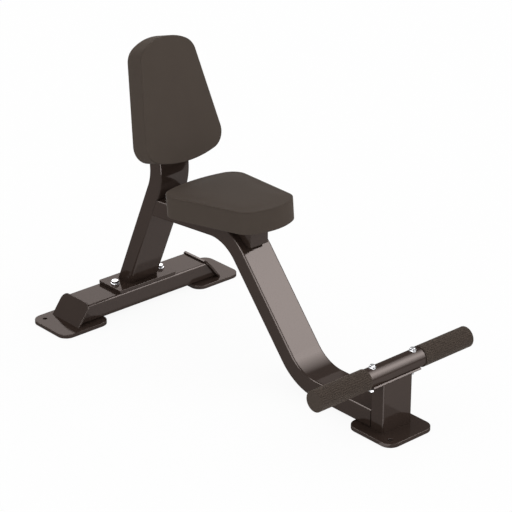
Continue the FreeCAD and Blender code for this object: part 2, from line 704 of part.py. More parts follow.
def pad(name):
    """Upholstered pad with a recess in its underside that holds the board."""
    body = pad_blank(name, "0", "sizes.pad_thick")
    round_edges(body, "sizes.pad_edge", at_height(value("sizes.pad_thick")), "top")
    recess = sketch_on(body, "XY_Plane", f"{name}_recess")
    draw_pad_outline(recess, "sizes.board_inset")
    pocket(body, recess, "sizes.board_thick", upwards=True)
    return body


def round_pad_corners(body, inset):
    """Round the four upright corner edges of a pad or board, wide end and narrow end."""
    upright_edge = along(V(0, 0, 1))
    middle = value("sizes.pad_long") / 2
    for end, wide_end in (("wide", True), ("narrow", False)):
        round_edges(body, f"(sizes.pad_round_{end} - {inset})",
                    lambda edge: upright_edge(edge) and (edge.BoundBox.YMax < middle) == wide_end,
                    end)


def board(name, bolt_places):
    """Plywood board that carries the pad, with a stepped hole for each tee nut."""
    body = pad_blank(name, "sizes.board_inset", "sizes.board_thick")
    for step, across, depth in (("barrel", "sizes.tee_nut_barrel", "sizes.board_thick"),
                                ("flange", "sizes.tee_nut", "sizes.tee_nut_thick")):
        drilling = sketch_on(body, "XY_Plane", f"{name}_{step}_holes")
        drilling.AttachmentOffset = FreeCAD.Placement(
            V(0, 0, value(f"sizes.board_thick - {depth}")), FreeCAD.Rotation())
        drilling.setExpression("AttachmentOffset.Base.z", f"sizes.board_thick - {depth}")
        for x, y in bolt_places:
            draw_circle(drilling, f"{across} / 2", x, y)
        pocket(body, drilling, depth, upwards=True)
    return body


def tee_nut(name):
    """Tee nut hanging in its board from a flange flush with the board's top."""
    flange = place(cylinder(f"{name}_flange", "sizes.tee_nut / 2", "sizes.tee_nut_thick"),
                   z="sizes.board_thick - sizes.tee_nut_thick")
    barrel = cylinder(f"{name}_barrel", "sizes.tee_nut_barrel / 2", "sizes.board_thick")
    solid = doc.addObject("Part::Fuse", f"{name}_solid")
    solid.Base, solid.Tool = flange, barrel
    thread = cylinder(f"{name}_thread", "(sizes.pad_bolt + sizes.hole_play) / 2",
                      "sizes.board_thick")
    return cut(name, solid, [thread])


def padded_piece(name, bolt_places, grip_depth, put):
    """Pad, board and the bolts that come up through what carries them, put on their place."""
    keep(put(pad(f"{name}_foam")), f"{name}_pad")
    keep(put(board(f"{name}_ply", bolt_places)), f"{name}_board")
    places = [dict(x=x, y=y) for x, y in bolt_places]
    keep(put(repeated(f"{name}_tee_nut", tee_nut, places)), f"{name}_tee_nuts")

    washer_z = f"-({grip_depth} + sizes.pad_washer_thick)"
    low_places = [dict(where, z=washer_z) for where in places]
    washers = repeated(f"{name}_washer", lambda item: ring(
        item, "sizes.pad_washer", "(sizes.pad_bolt + sizes.hole_play)",
        "sizes.pad_washer_thick"), low_places)
    keep(put(washers), f"{name}_washers")
    long = f"({grip_depth} + sizes.pad_washer_thick + sizes.pad_bolt_bite)"
    bolts = repeated(f"{name}_bolt", lambda item: bolt(
        item, "sizes.pad_bolt", "sizes.pad_bolt_flats", "sizes.pad_bolt_head", long),
        [dict(where, roll="180") for where in low_places])
    keep(put(bolts), f"{name}_bolts")


def seat_support(spine_solid):
    """Box section that stands on the spine's bend, and the plate over it and the rail."""
    outer = place(box("riser_outer", "sizes.riser_wide", "sizes.riser_deep",
                      "sizes.riser_high - sizes.riser_low"),
                  x="-sizes.riser_wide / 2", y="-sizes.riser_front", z="sizes.riser_low")
    wall = "sizes.tube_wall"
    inner = place(box("riser_inner", f"sizes.riser_wide - 2 * {wall}",
                      f"sizes.riser_deep - 2 * {wall}", "sizes.riser_high - sizes.riser_low"),
                  x=f"-sizes.riser_wide / 2 + {wall}", y=f"-sizes.riser_front + {wall}",
                  z="sizes.riser_low")
    above = on_seat(group("above_plate", [
        place(box("seat_space", "4 * sizes.tube_wide", "6 * sizes.tube_wide", "sizes.tube_wide"),
              x="-2 * sizes.tube_wide", y="-sizes.tube_wide", z="-sizes.seat_plate_thick")]))
    keep(cut("riser_cut", outer, [inner, spine_solid, above]), "seat_riser")

    middle = "(sizes.seat_plate_back + sizes.seat_plate_long / 2)"
    holes = [(x, f"{y} - {middle}") for x, y in seat_bolt_places()]
    support = plate("seat_plate", "sizes.seat_plate_wide", "sizes.seat_plate_long",
                    "sizes.seat_plate_thick", "sizes.seat_plate_round", holes,
                    "(sizes.pad_bolt + sizes.hole_play)")
    keep(on_seat(group("seat_plate_on_rail", [
        place(support, y=middle, z="-sizes.seat_plate_thick")])), "seat_mounting_plate")


def seat_bolt_places():
    return [(f"{sign} * sizes.seat_bolt_x", y) for sign in SIDES.values()
            for y in ("sizes.seat_bolt_back", "sizes.seat_bolt_front")]


def build():
    foot_plates()
    rear_crossbeam()
    crossbeam_end_plates()
    upright_flange()
    upright_solid = upright()
    upright_cap()
    spine_solid = spine(upright_solid)
    front_post()
    foot_bar_cradle()
    foot_bar()
    foot_bar_fasteners()
    seat_support(spine_solid)
    padded_piece("seat", seat_bolt_places(), "sizes.seat_plate_thick", on_seat)
    back_places = [("0", "sizes.back_bolt_low"), ("0", "sizes.back_bolt_high")]
    padded_piece("backrest", back_places, "sizes.tube_deep", on_back)


def write():
    """Check every object, then write one file for each sub-part."""
    doc.recompute()
    for item in doc.Objects:
        if "Invalid" in item.State or "Error" in item.State:
            raise RuntimeError(f"{item.Label} failed: {item.State}")
    os.makedirs("parts", exist_ok=True)
    for item in sub_parts:
        shape = item.Shape
        if shape.isNull() or not shape.isValid() or not shape.Solids:
            raise RuntimeError(f"{item.Label} has no valid solid")
        shape.exportStep(f"parts/{item.Label}.step")
        print(f"{item.Label}: {len(shape.Solids)} solid(s), {shape.Volume / 1000:.1f} cm3")


build()
write()
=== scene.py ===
"""Finished look of a fixed upright bench with a foot bar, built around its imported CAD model."""
import math

import bmesh
import bpy
import numpy as np
from bpy.props import FloatProperty, FloatVectorProperty, IntProperty, StringProperty
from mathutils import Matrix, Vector
from mathutils.geometry import tessellate_polygon


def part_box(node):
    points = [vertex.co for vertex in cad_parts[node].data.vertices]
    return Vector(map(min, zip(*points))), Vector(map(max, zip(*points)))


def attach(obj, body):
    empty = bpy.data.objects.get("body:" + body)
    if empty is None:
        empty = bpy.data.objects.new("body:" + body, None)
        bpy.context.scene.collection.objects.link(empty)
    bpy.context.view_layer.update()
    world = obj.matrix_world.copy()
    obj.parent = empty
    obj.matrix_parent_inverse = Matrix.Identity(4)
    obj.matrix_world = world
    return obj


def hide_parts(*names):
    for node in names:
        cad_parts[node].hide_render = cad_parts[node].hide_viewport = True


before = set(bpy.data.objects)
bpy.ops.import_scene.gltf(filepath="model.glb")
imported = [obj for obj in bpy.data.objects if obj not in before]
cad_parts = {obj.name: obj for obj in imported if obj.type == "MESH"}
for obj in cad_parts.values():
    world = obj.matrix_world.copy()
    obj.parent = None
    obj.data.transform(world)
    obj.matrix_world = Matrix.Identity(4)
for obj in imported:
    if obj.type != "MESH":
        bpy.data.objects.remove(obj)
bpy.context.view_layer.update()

bl_info = {
    "name": "Bench Finish",
    "version": (1, 0, 0),
    "blender": (4, 5, 0),
    "location": "3D View > Sidebar > Bench",
    "description": "Builds the finished surfaces of an upright bench around its CAD model",
    "category": "Object",
}

MM = 0.001
HOLD = 0.3 * MM  # beside a round corner: a point here keeps the straight's shading flat
EASE = 1.2 * MM  # beside a tube's end or bend: a ring here keeps the run's shading flat
BORE_PLAY = 0.5 * MM  # all round between a bolt and its washer
BOARD_INSET = 6 * MM  # from a pad's outline to its board's
LID = 3 * MM  # thickness of the lid on the upright's plug
X, Y, Z = np.eye(3)
WHITE = (1, 1, 1, 1)
WARM_SHINE = "#fff1ec"
SIDES = {"left": -1, "right": 1}
ROUND_TURNS = np.linspace(0, 2 * math.pi, 96, endpoint=False)


# ---- what a user can change ----

def length(name, description, millimetres):
    """Property that holds a length, given in millimetres and kept in metres."""
    return FloatProperty(name=name, description=description, default=millimetres * MM, min=0,
                         precision=5, subtype="DISTANCE", unit="LENGTH")


def slope(name, description, degrees):
    return FloatProperty(name=name, description=description, default=math.radians(degrees),
                         subtype="ANGLE", unit="ROTATION")


def amount(name, description, value, least=0):
    return FloatProperty(name=name, description=description, default=value, min=least)


def spot(name, description, *place, **kind):
    return FloatVectorProperty(name=name, description=description, default=place,
                               size=len(place), **kind)


def paint(name, description, code):
    """Property that holds a colour as its sRGB code."""
    return StringProperty(name=name, description=description, default=code)


class FrameSizes(bpy.types.PropertyGroup):
    """Sizes of the welded frame."""
    corner: length("Tube corner", "Outer corner radius of the frame tube", 6)
    post_corner: length("Post corner", "Outer corner radius of the front post", 5)
    bend: length("Bend radius", "Radius of the centre line in every bend", 140)
    flat: length("Flat run", "Length of the spine's flat run behind the post", 202.6)
    incline: length("Incline", "Length of the spine's incline", 291.5)
    rail: length("Rail", "Reach of the spine's rail before the upright cuts it", 236)
    incline_slope: slope("Incline slope", "Slope of the spine's incline", 49.6)
    seat_tilt: slope("Seat tilt", "Fall of the rail and the seat to the back", 5.05)
    lean: slope("Upright lean", "Forward lean of the upright above its flange", 23.85)
    recline: slope("Recline", "Backward lean of the backrest", 15.9)
    lower: length("Upright below bend", "Straight length of the upright below its bend", 346.1)
    end_slope: slope("End plate slope", "Slope of the crossbeam's end plates", 53.4)
    end_thick: length("End plate thickness", "Thickness of the crossbeam's end plates", 6)
    end_corner: length("End plate corner", "Radius of the end plates' upper corners", 22)
    foot_corner: length("Foot corner", "Corner radius of the floor plates", 30)
    plate_corner: length("Plate corner", "Corner radius of the upright's flange", 4)
    edge: length("Plate edge", "Rounding of sawn plate edges", 0.9)
    floor_hole: length("Floor hole", "Diameter of the holes for floor bolts", 12)
    riser_corner: length("Riser corner", "Outer corner radius of the seat's riser", 1.2)
    seat_plate_long: length("Seat plate length", "Length of the plate under the seat", 232)
    seat_plate_back: length("Seat plate set", "How far the plate starts ahead of the pad", 10)
    seat_plate_thick: length("Seat plate thickness", "Thickness of the plate under the seat", 5)
    seat_plate_corner: length("Seat plate corner", "Corner radius of that plate", 8)
    seat_plate_edge: length("Seat plate edge", "Rounding of that plate's edges", 0.6)


class PadSizes(bpy.types.PropertyGroup):
    """Sizes of the two upholstered pads, which share one pattern."""
    wide: length("Wide end", "Width between the side lines at the wide end", 268)
    narrow: length("Narrow end", "Width between the side lines at the narrow end", 178.5)
    long: length("Length", "Distance between the two ends of the side lines", 275.5)
    bow_wide: length("Wide bow", "How far the wide end bows out", 28.5)
    bow_narrow: length("Narrow bow", "How far the narrow end bows out", 32.5)
    corner_wide: length("Wide corner", "Corner radius at the wide end", 49)
    corner_narrow: length("Narrow corner", "Corner radius at the narrow end", 50)
    thick: length("Thickness", "Thickness of the pad over its board", 62)
    shoulder: length("Shoulder", "Rounding from the top panel into the side band", 2.4)
    swell: length("Swell", "Most that the stuffing may push the cover out", 3)
    seam: length("Seam depth", "Depth of the seam between top panel and side band", 0.9)
    hem: length("Hem", "Width of the cover turned under the board", 24)


class BarSizes(bpy.types.PropertyGroup):
    """Sizes of the foot bar, its grips and the visible fasteners."""
    bar: length("Bar radius", "Outer radius of the foot bar", 25.4)
    cradle_span: slope("Cradle span", "How far up the bar's cradle reaches on each side", 45)
    ribs: IntProperty(name="Ribs", description="Ribs around each grip", default=30, min=12)
    rib_depth: length("Rib depth", "Depth of the grooves between the ribs", 1.1)
    grip_edge: length("Grip edge", "Rounding of the grip's outer rim", 2.5)
    flats: length("Flats", "Width across flats of the foot bar's bolts", 13)
    flange_flats: length("Flange flats", "Width across flats of the flange bolts", 18)
    head: length("Head", "Height of the foot bar's bolt heads", 5.3)
    flange_head: length("Flange head", "Height of the flange bolts' heads", 7.5)
    thread: length("Thread", "Diameter of the foot bar's bolts", 8)
    flange_thread: length("Flange thread", "Diameter of the flange bolts", 12)
    pitch: length("Pitch", "Pitch of the foot bar bolts' thread", 1.25)


class FinishColours(bpy.types.PropertyGroup):
    """Colours of the finishes, as sRGB codes."""
    coat: paint("Coat", "Baked gloss powder coat", "#342a25")
    vinyl: paint("Vinyl", "Upholstery vinyl", "#4c443e")
    rubber: paint("Rubber", "Ribbed rubber of the grips", "#3f3731")
    zinc: paint("Zinc", "Bright zinc plating", "#b0b0b2")
    ply: paint("Plywood", "Birch plywood", "#b99468")
    plastic: paint("Plastic", "Moulded polypropylene", "#262423")
    floor: paint("Floor", "Studio floor", "#f2f2f2")


class StageSettings(bpy.types.PropertyGroup):
    """Camera and lights."""
    azimuth: slope("Azimuth", "Camera's direction round the bench", -41.526)
    elevation: slope("Elevation", "Camera's height above the horizon", 24.335)
    distance: length("Distance", "Camera's distance from the point it looks at", 5330)
    aim: spot("Aim", "Point the camera looks at", -0.0376, -0.0407, 0.3272, subtype="XYZ",
              unit="LENGTH")
    lens: amount("Lens", "Focal length on a 36 mm sensor, mm", 145.5, 10)
    ambient: amount("Ambient", "Light from all round, where 1 is white", 0.92)
    card_distance: length("Card distance", "How far behind the bench two cards stand", 1000)
    card_height: length("Card height", "Height of the low card", 500)
    card_wide: length("Card width", "Width of the low card", 900)
    dome: amount("Dome", "Light added in the middle of the bright dome", 0.95)
    dome_shine: amount("Dome in gloss", "The dome's light as gloss shows it", 13.4)
    dome_toward: spot("Dome toward", "Where the dome's middle is", 0.604, -0.46, 0.65,
                      subtype="XYZ")
    edge_shine: amount("Edge lights in gloss",
                       "Brightness, as gloss shows it, of the two lights that edges catch", 12)
    dome_core: slope("Dome core", "Angle from its middle within which the dome is even", 6)
    dome_rim: slope("Dome rim", "Angle from its middle at which the dome has faded away", 43)
    floor_glow: amount("Floor glow", "Share of the floor that shows white; the rest is lit", 0.92)


# ---- surfaces ----

class Shell:
    """Points and faces of one piece, gathered from grids and flat fills."""

    def __init__(self):
        self.points, self.faces, self.count = [], [], 0

    def ring(self, points):
        """Keep points without faces and return their numbers."""
        numbers = self.count + np.arange(len(points))
        self.points.append(np.asarray(points, float))
        self.count += len(points)
        return numbers

    def grid(self, points, along=False):
        """Quads over a grid of points, rows by columns, the last column joined to the first and,
        where along is set, the last row too. Returns the grid of point numbers."""
        rows, columns = points.shape[:2]
        numbers = self.ring(points.reshape(-1, 3)).reshape(rows, columns)
        net = np.vstack([numbers, numbers[:1]]) if along else numbers
        net = np.hstack([net, net[:, :1]])
        quads = np.stack([net[:-1, :-1], net[:-1, 1:], net[1:, 1:], net[1:, :-1]], -1)
        self.faces += quads.reshape(-1, 4).tolist()
        return numbers

    def cap(self, numbers):
        """Close a ring with one flat face."""
        self.faces.append(numbers.tolist())

    def fan(self, numbers, point):
        """Close a ring with triangles to one point."""
        pole = self.ring(np.reshape(point, (1, 3)))[0]
        following = np.roll(numbers, -1)
        self.faces += np.stack([numbers, following, np.full(len(numbers), pole)], -1).tolist()

    def strips(self, numbers):
        """Close a ring whose second half mirrors its first, by strips between the two halves."""
        one, other = np.split(numbers, 2)
        other = other[::-1]
        self.faces += np.stack([one[:-1], one[1:], other[1:], other[:-1]], -1).tolist()

    def fill(self, *loops):
        """Fill the flat area inside the first loop and outside the others with triangles."""
        cloud = np.vstack(self.points)
        outlines = [[Vector(p) for p in cloud[loop]] for loop in loops]
        corners = np.array(tessellate_polygon(outlines))
        self.faces += np.concatenate(loops)[corners].tolist()

    def build(self, name, where=None):
        """Mesh object of the shell, moved by where(points), with every normal outwards."""
        points = np.vstack(self.points)
        if where is not None:
            points = where(points)
        mesh = bpy.data.meshes.new(name)
        mesh.from_pydata(points.tolist(), [], self.faces)
        sheet = bmesh.new()
        sheet.from_mesh(mesh)
        bmesh.ops.remove_doubles(sheet, verts=sheet.verts, dist=1e-6)
        bmesh.ops.recalc_face_normals(sheet, faces=sheet.faces)
        sheet.to_mesh(mesh)
        sheet.free()
        return linked(name, mesh)


def linked(name, data):
    """New object of the scene."""
    thing = bpy.data.objects.new(name, data)
    bpy.context.scene.collection.objects.link(thing)
    return thing


def read_points(mesh):
    points = np.empty(len(mesh.vertices) * 3, np.float32)
    mesh.vertices.foreach_get("co", points)
    return points.reshape(-1, 3).astype(float)


def measured(node):
    """Low corner, high corner, middle and size of a CAD node."""
    low, high = np.array(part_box(node))
    return low, high, (low + high) / 2, high - low


def polar(turn):
    """(cos, sin) of each turn."""
    return np.stack([np.cos(turn), np.sin(turn)], -1)


def quarter_turn(steps):
    return np.linspace(0, math.pi / 2, steps + 1)


def round_corner(radius, steps):
    """Quarter circle about the origin, with a point just before and after it on the straights,
    so that smooth shading leaves the straights flat."""
    arc = polar(quarter_turn(steps)) * radius
    return np.vstack([arc[:1] - [0, HOLD], arc, arc[-1:] - [HOLD, 0]])


def rounded_rectangle(wide, deep, radius, steps=8):
    """Outline of a rectangle with round corners, one quarter circle turned into each corner."""
    arc = round_corner(radius, steps)
    pieces = []
    for quarter, (sx, sy) in enumerate(((1, 1), (-1, 1), (-1, -1), (1, -1))):
        c, s = round(math.cos(quarter * math.pi / 2)), round(math.sin(quarter * math.pi / 2))
        turned = arc @ np.array([[c, s], [-s, c]])
        pieces.append(turned + [sx * (wide / 2 - radius), sy * (deep / 2 - radius)])
    return np.vstack(pieces)


def two_sided(wide, deep, radius, count):
    """Rounded rectangle as its right side from front to back, with points spread along the
    straight, and then the mirror image of that side from back to front."""
    outline = rounded_rectangle(wide, deep, radius)
    quarter = len(outline) // 4
    front, back = outline[3 * quarter:], outline[:quarter]
    between = np.linspace(front[-1], back[0], count + 2)[1:-1]
    right = np.vstack([front, between, back])
    return np.vstack([right, (right * [-1, 1])[::-1]])


def circle(radius, count, centre=(0, 0)):
    """Points at centre plus radius times (cos, sin) of equal turns."""
    return polar(np.linspace(0, 2 * math.pi, count, endpoint=False)) * radius + centre


def raised(outline, height):
    """Flat outline lifted to one height, or to a height for each point."""
    return np.column_stack([outline, np.broadcast_to(height, len(outline))])


def bent_line(start, heading, runs, radius, step=math.radians(3)):
    """Centre line in the Y-Z plane as straight runs joined by arcs. runs alternates lengths and
    turns: a run adds length times (cos, sin) of the heading, and a turn goes round a centre that
    lies a radius to its side, at centre - radius times the normal of each heading. Returns the
    points and the heading at each."""
    points, headings = [np.array(start, float)], [heading]
    for index, size in enumerate(runs):
        if index % 2 == 0:
            shares = np.array([EASE / size, 1 - EASE / size, 1])
            points += list(points[-1] + polar(heading) * size * shares[:, None])
            headings += [heading] * 3
        else:
            reach = math.copysign(radius, size)
            turns = heading + np.linspace(0, size, max(2, math.ceil(abs(size) / step)) + 1)[1:]
            centre = points[-1] + reach * polar(heading + math.pi / 2)
            points += list(centre - reach * polar(turns + math.pi / 2))
            headings += turns.tolist()
            heading += size
    return np.array(points), np.array(headings)


def carried(section, line, headings):
    """Section carried along a line in the Y-Z plane: point = line + across times X + up times
    the line's own normal, (-sin, cos) of its heading."""
    up = np.stack([np.zeros(len(line)), -np.sin(headings), np.cos(headings)], -1)
    centres = np.column_stack([np.zeros(len(line)), line])
    return centres[:, None] + section[None, :, :1] * X + section[None, :, 1:] * up[:, None]


def slide_to_plane(ring, direction, point, normal):
    """Slide a ring's points along a direction until they lie in a plane."""
    reach = ((point - ring) @ normal) / (direction @ normal)
    return ring + reach[:, None] * direction


def closed(rings, low=Shell.cap, high=Shell.cap):
    """Shell over a stack of rings, closed at both ends."""
    shell = Shell()
    numbers = shell.grid(np.asarray(rings))
    low(shell, numbers[0])
    high(shell, numbers[-1])
    return shell


def poled(shell, rings, start, end):
    """Add rings to a shell, with a fan to a pole at each end."""
    numbers = shell.grid(rings)
    shell.fan(numbers[0], start)
    shell.fan(numbers[-1], end)
    return shell


def edge_rows(thick, edge, steps=3):
    """Inset and height of each row from the underside's flat over the rounded lower edge, up the
    side and over the upper edge: inset = edge (1 - sin), height = edge (1 - cos)."""
    low = edge * (1 - polar(quarter_turn(steps))[:, ::-1])
    low = np.vstack([[edge + HOLD, 0], low, [0, edge + HOLD]])
    return np.vstack([low, np.column_stack([low[::-1, 0], thick - low[::-1, 1]])])


def slab(outline_at, thick, edge, holes=()):
    """Flat plate: outline_at(inset) is its outline set in by an amount, holes are (x, y, radius).
    Side and hole walls are rows of that outline at rising heights, with both edges rounded."""
    shell, rows = Shell(), edge_rows(thick, edge)
    walls = [shell.grid(np.stack([raised(outline_at(inset), z) for inset, z in rows]))]
    walls += [shell.grid(np.stack([raised(circle(radius + inset, 40, (x, y)), z)
                                   for inset, z in rows])) for x, y, radius in holes]
    for row in (0, -1):
        shell.fill(*[wall[row] for wall in walls])
    return shell


def rounded_slab(wide, deep, thick, corner, edge, holes=(), steps=8):
    """Plate with four round corners about its own middle, standing on zero."""
    def outline_at(inset):
        return rounded_rectangle(wide - 2 * inset, deep - 2 * inset,
                                 max(corner - inset, 0.2 * MM), steps)
    return slab(outline_at, thick, edge, holes)


def shifted(offset):
    return lambda points: points + np.asarray(offset, float)


def put_on(origin, *axes):
    """Move that takes (x, y, z) to the origin plus x, y and z along three axes."""
    return lambda points: origin + points @ np.array(axes)


def hexagon_turns(steps=8, beside=0.012):
    """Turns over which a hexagon is drawn, close together beside its six corners."""
    share = np.linspace(0, 1, steps, endpoint=False)
    share = np.concatenate([[0, beside], share[1:], [1 - beside]])
    return ((np.arange(6)[:, None] + share) * math.pi / 3 + math.pi / 6).ravel()


def hexagon_rows(flats, low, high, turns, both=False):
    """Rows up a hexagon head. Its radius is half the flats over the cosine of the turn from the
    nearest flat, or that of a 30 degree cone where less, 0.475 of the flats at its tip: the cone
    turns the corners off the head's top, and off its underside too where both is set."""
    sixth, cone = math.pi / 3, flats * 0.475
    hexagon = flats / 2 / np.cos((turns + sixth / 2) % sixth - sixth / 2)
    climb = np.concatenate([np.linspace(0, 0.25, 5), [0.5], np.linspace(0.75, 1, 7)])
    levels = low + climb * (high - low)
    depth = np.minimum(high - levels, levels - low) if both else high - levels
    return np.minimum(hexagon, (cone + depth * math.sqrt(3))[:, None]), levels


def round_rows(radii, levels, turns):
    """Rows of constant radius, in the form that hexagon_rows gives."""
    return np.repeat(np.asarray(radii, float)[:, None], len(turns), 1), np.asarray(levels, float)


def thread_rows(thread, pitch, low, high, turns):
    """Rows down a threaded shank: radius = half the thread less its depth, 0.61 of the pitch,
    times a triangle wave of height over pitch less the turn, faded out towards both ends."""
    levels = np.linspace(low, high, max(4, round((high - low) / pitch * 6)))
    phase = (levels[:, None] / pitch - turns[None] / (2 * math.pi)) % 1
    wave = 1 - np.abs(2 * phase - 1)
    fade = np.clip(np.minimum(levels - low, high - levels) / pitch, 0, 1)[:, None]
    return thread / 2 - 0.61 * pitch * wave * fade, levels


def stacked(shell, parts, turns, at):
    """Closed solid about a vertical line at a point, from (radius, level) rows listed upwards."""
    radius = np.vstack([part[0] for part in parts])
    levels = np.concatenate([part[1] for part in parts])
    rows = np.concatenate([radius[..., None] * polar(turns)[None],
                           np.repeat(levels[:, None, None], len(turns), 1)], -1)
    poled(shell, rows + at, Z * levels[0] + at, Z * levels[-1] + at)


def looped(shell, profile, turns, at, flip=False):
    """Ring about a vertical line: a closed profile of (radius, level) rows, each a number or one
    value for each turn."""
    rows = np.stack([raised(polar(turns) * np.broadcast_to(radius, turns.shape)[:, None], level)
                     for radius, level in profile])
    shell.grid(rows * ([1, -1, -1] if flip else [1, 1, 1]) + at, along=True)


# ---- finishes ----

def linear(code, dark=0):
    """sRGB code such as #3a322f as linear red, green and blue, darkened by a share, and 1."""
    share = np.array([int(code[i:i + 2], 16) for i in (1, 3, 5)]) / 255
    value = np.where(share <= 0.04045, share / 12.92, ((share + 0.055) / 1.055) ** 2.4)
    return (*(value * (1 - dark)).tolist(), 1.0)


def add(tree, kind, inputs=None, **settings):
    """Add a node with its settings; each input is a value or the socket that feeds it."""
    node = tree.nodes.new(kind)
    for name, setting in settings.items():
        setattr(node, name, setting)
    for name, source in (inputs or {}).items():
        if isinstance(source, bpy.types.NodeSocket):
            tree.links.new(source, node.inputs[name])
        else:
            node.inputs[name].default_value = source
    return node


def new_finish(name):
    """Empty material with its tree, and the object's own coordinates in metres."""
    material = bpy.data.materials.new(name)
    material.use_nodes = True
    tree = material.node_tree
    tree.nodes.clear()
    return material, tree, add(tree, "ShaderNodeTexCoord").outputs["Object"]


SOFT_SHINE = {"Specular Tint": linear(WARM_SHINE)}

# Each finish by name: its slot, and its recipe for make_finish.
FINISHES = {
    # Baked polyester powder coat: one even dark colour under a smooth film whose shine is faintly
    # warm and, as on a matted coat, grows little towards grazing. The film's orange peel, waves
    # about 3 mm long and a few thousandths deep, keeps reflections from being perfect.
    "powder_coat_gloss": ("frame_paint", dict(
        colour="coat", cell=60, detail=3, dark=0.10, gloss=(0.07, 0.10),
        grain=(3.2, 1), bump=(0.05, 0.3), film=0.02, body={"Roughness": 0.8, "IOR": 1.0})),
    # Electroplated zinc on steel, bright: a pale metal with faint drawn streaks and a slightly
    # broken shine.
    "zinc_plated_steel": ("zinc", dict(
        colour="zinc", cell=1.6, detail=4, dark=0.14, gloss=(0.14, 0.26),
        bump=(0.12, 0.1), body={"Metallic": 1.0})),
    # Extruded ribbed rubber: matte, with a fine bloom on the crowns of the ribs.
    "rubber_extruded": ("grip_rubber", dict(
        colour="rubber", cell=5, detail=5, dark=0.16, gloss=(0.62, 0.76),
        grain=(0.9, 2), bump=(0.15, 0.2),
        body={"IOR": 1.45, "Specular IOR Level": 0.06, **SOFT_SHINE})),
    # Calendered vinyl with an embossed leather grain, cells about 1.3 mm across (drawn 2 mm, as
    # coarse as it needs to show): a soft sheen broken up by the grain.
    "vinyl_embossed": ("vinyl", dict(
        colour="vinyl", cell=45, detail=4, dark=0.08, gloss=(0.46, 0.54),
        pebble=2, bump=(0.12, 0.3),
        body={"IOR": 1.42, "Specular IOR Level": 0.007, **SOFT_SHINE})),
    # Rotary-cut birch plywood: pale, with long soft grain.
    "plywood_birch": ("plywood", dict(
        colour="ply", cell=4, detail=6, dark=0.35, stretch=0.08,
        bump=(0.2, 0.2), body={"Roughness": 0.7})),
    # Injection-moulded polypropylene with a spark-eroded texture, grains of about 0.5 mm.
    "polypropylene_moulded": ("cap_plastic", dict(
        colour="plastic", cell=0.7, detail=2, dark=0.12, gloss=(0.42, 0.55),
        bump=(0.25, 0.2), body={"IOR": 1.49})),
}


def make_finish(name, colour, cell, detail, dark, bump, body, gloss=None, grain=None,
                pebble=None, stretch=1, film=0):
    """Material by one recipe. A cloudy noise, its features cell mm long, darkens the colour by
    up to a share and varies the shine between two roughnesses. A bump of (strength, depth in mm)
    follows that noise, a finer one of (mm, detail) or embossed pebbles of a size in mm. body
    holds the shader's other inputs, and film is the share of a glossy film over it. stretch is
    the pattern's scale along Y: a small one draws the noise out into grain."""
    code = getattr(bpy.context.scene.bench_colours, colour)
    material, tree, place = new_finish(name)
    if stretch != 1:
        place = add(tree, "ShaderNodeMapping", {"Vector": place, "Scale": (1.0, stretch, 1.0)}
                    ).outputs["Vector"]
    cloud = height = add(tree, "ShaderNodeTexNoise", {
        "Vector": place, "Scale": 1 / (cell * MM), "Detail": detail}).outputs["Fac"]
    tint = add(tree, "ShaderNodeMix", {0: cloud, 6: linear(code, dark), 7: linear(code)},
               data_type="RGBA").outputs[2]
    if grain:
        height = add(tree, "ShaderNodeTexNoise", {
            "Vector": place, "Scale": 1 / (grain[0] * MM), "Detail": grain[1]}).outputs["Fac"]
    if pebble:
        height = add(tree, "ShaderNodeTexVoronoi", {
            "Vector": place, "Scale": 1 / (pebble * MM)}, feature="F1").outputs["Distance"]
    normal = add(tree, "ShaderNodeBump", {"Height": height, "Strength": bump[0],
                                          "Distance": bump[1] * MM},
                 invert=bool(pebble)).outputs["Normal"]
    inputs = {"Base Color": tint, "Normal": normal}
    if gloss:
        inputs["Roughness"] = add(tree, "ShaderNodeMapRange", {
            "Value": cloud, "To Min": gloss[0], "To Max": gloss[1]}).outputs["Result"]
    surface = add(tree, "ShaderNodeBsdfPrincipled", {**inputs, **body}).outputs["BSDF"]
    if film:
        shine = add(tree, "ShaderNodeBsdfGlossy", {
            "Color": linear(WARM_SHINE), "Roughness": inputs["Roughness"], "Normal": normal})
        surface = add(tree, "ShaderNodeMixShader", {
            0: film, 1: surface, 2: shine.outputs["BSDF"]}).outputs["Shader"]
    add(tree, "ShaderNodeOutputMaterial", {"Surface": surface})
    return material


def finish(look):
    """Material of a finish, made the first time it is asked for."""
    return bpy.data.materials.get(look) or make_finish(look, **FINISHES[look][1])


def dressed(shell, node, where=None, look="powder_coat_gloss", sharp=32):
    """Build a shell, give it its finish, ride it on the one body and let it stand for its CAD
    node."""
    thing = shell.build(f"dressed_{node}", where)
    mesh = thing.data
    mesh.polygons.foreach_set("use_smooth", np.ones(len(mesh.polygons), bool))
    mesh.set_sharp_from_angle(angle=math.radians(sharp))
    mesh.materials.append(finish(look))
    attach(thing, "root")
    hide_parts(node)
    return thing


class BenchOperator:
    """What every operator of this add-on shares."""
    bl_options = {"REGISTER", "UNDO"}


# ---- frame ----

def level_plate(node, corner, edge, holes=(), steps=8):
    """Level plate of its node's own size, where its node lies."""
    low, _, middle, size = measured(node)
    dressed(rounded_slab(*size, corner, edge, holes, steps), node,
            shifted((*middle[:2], low[2])))


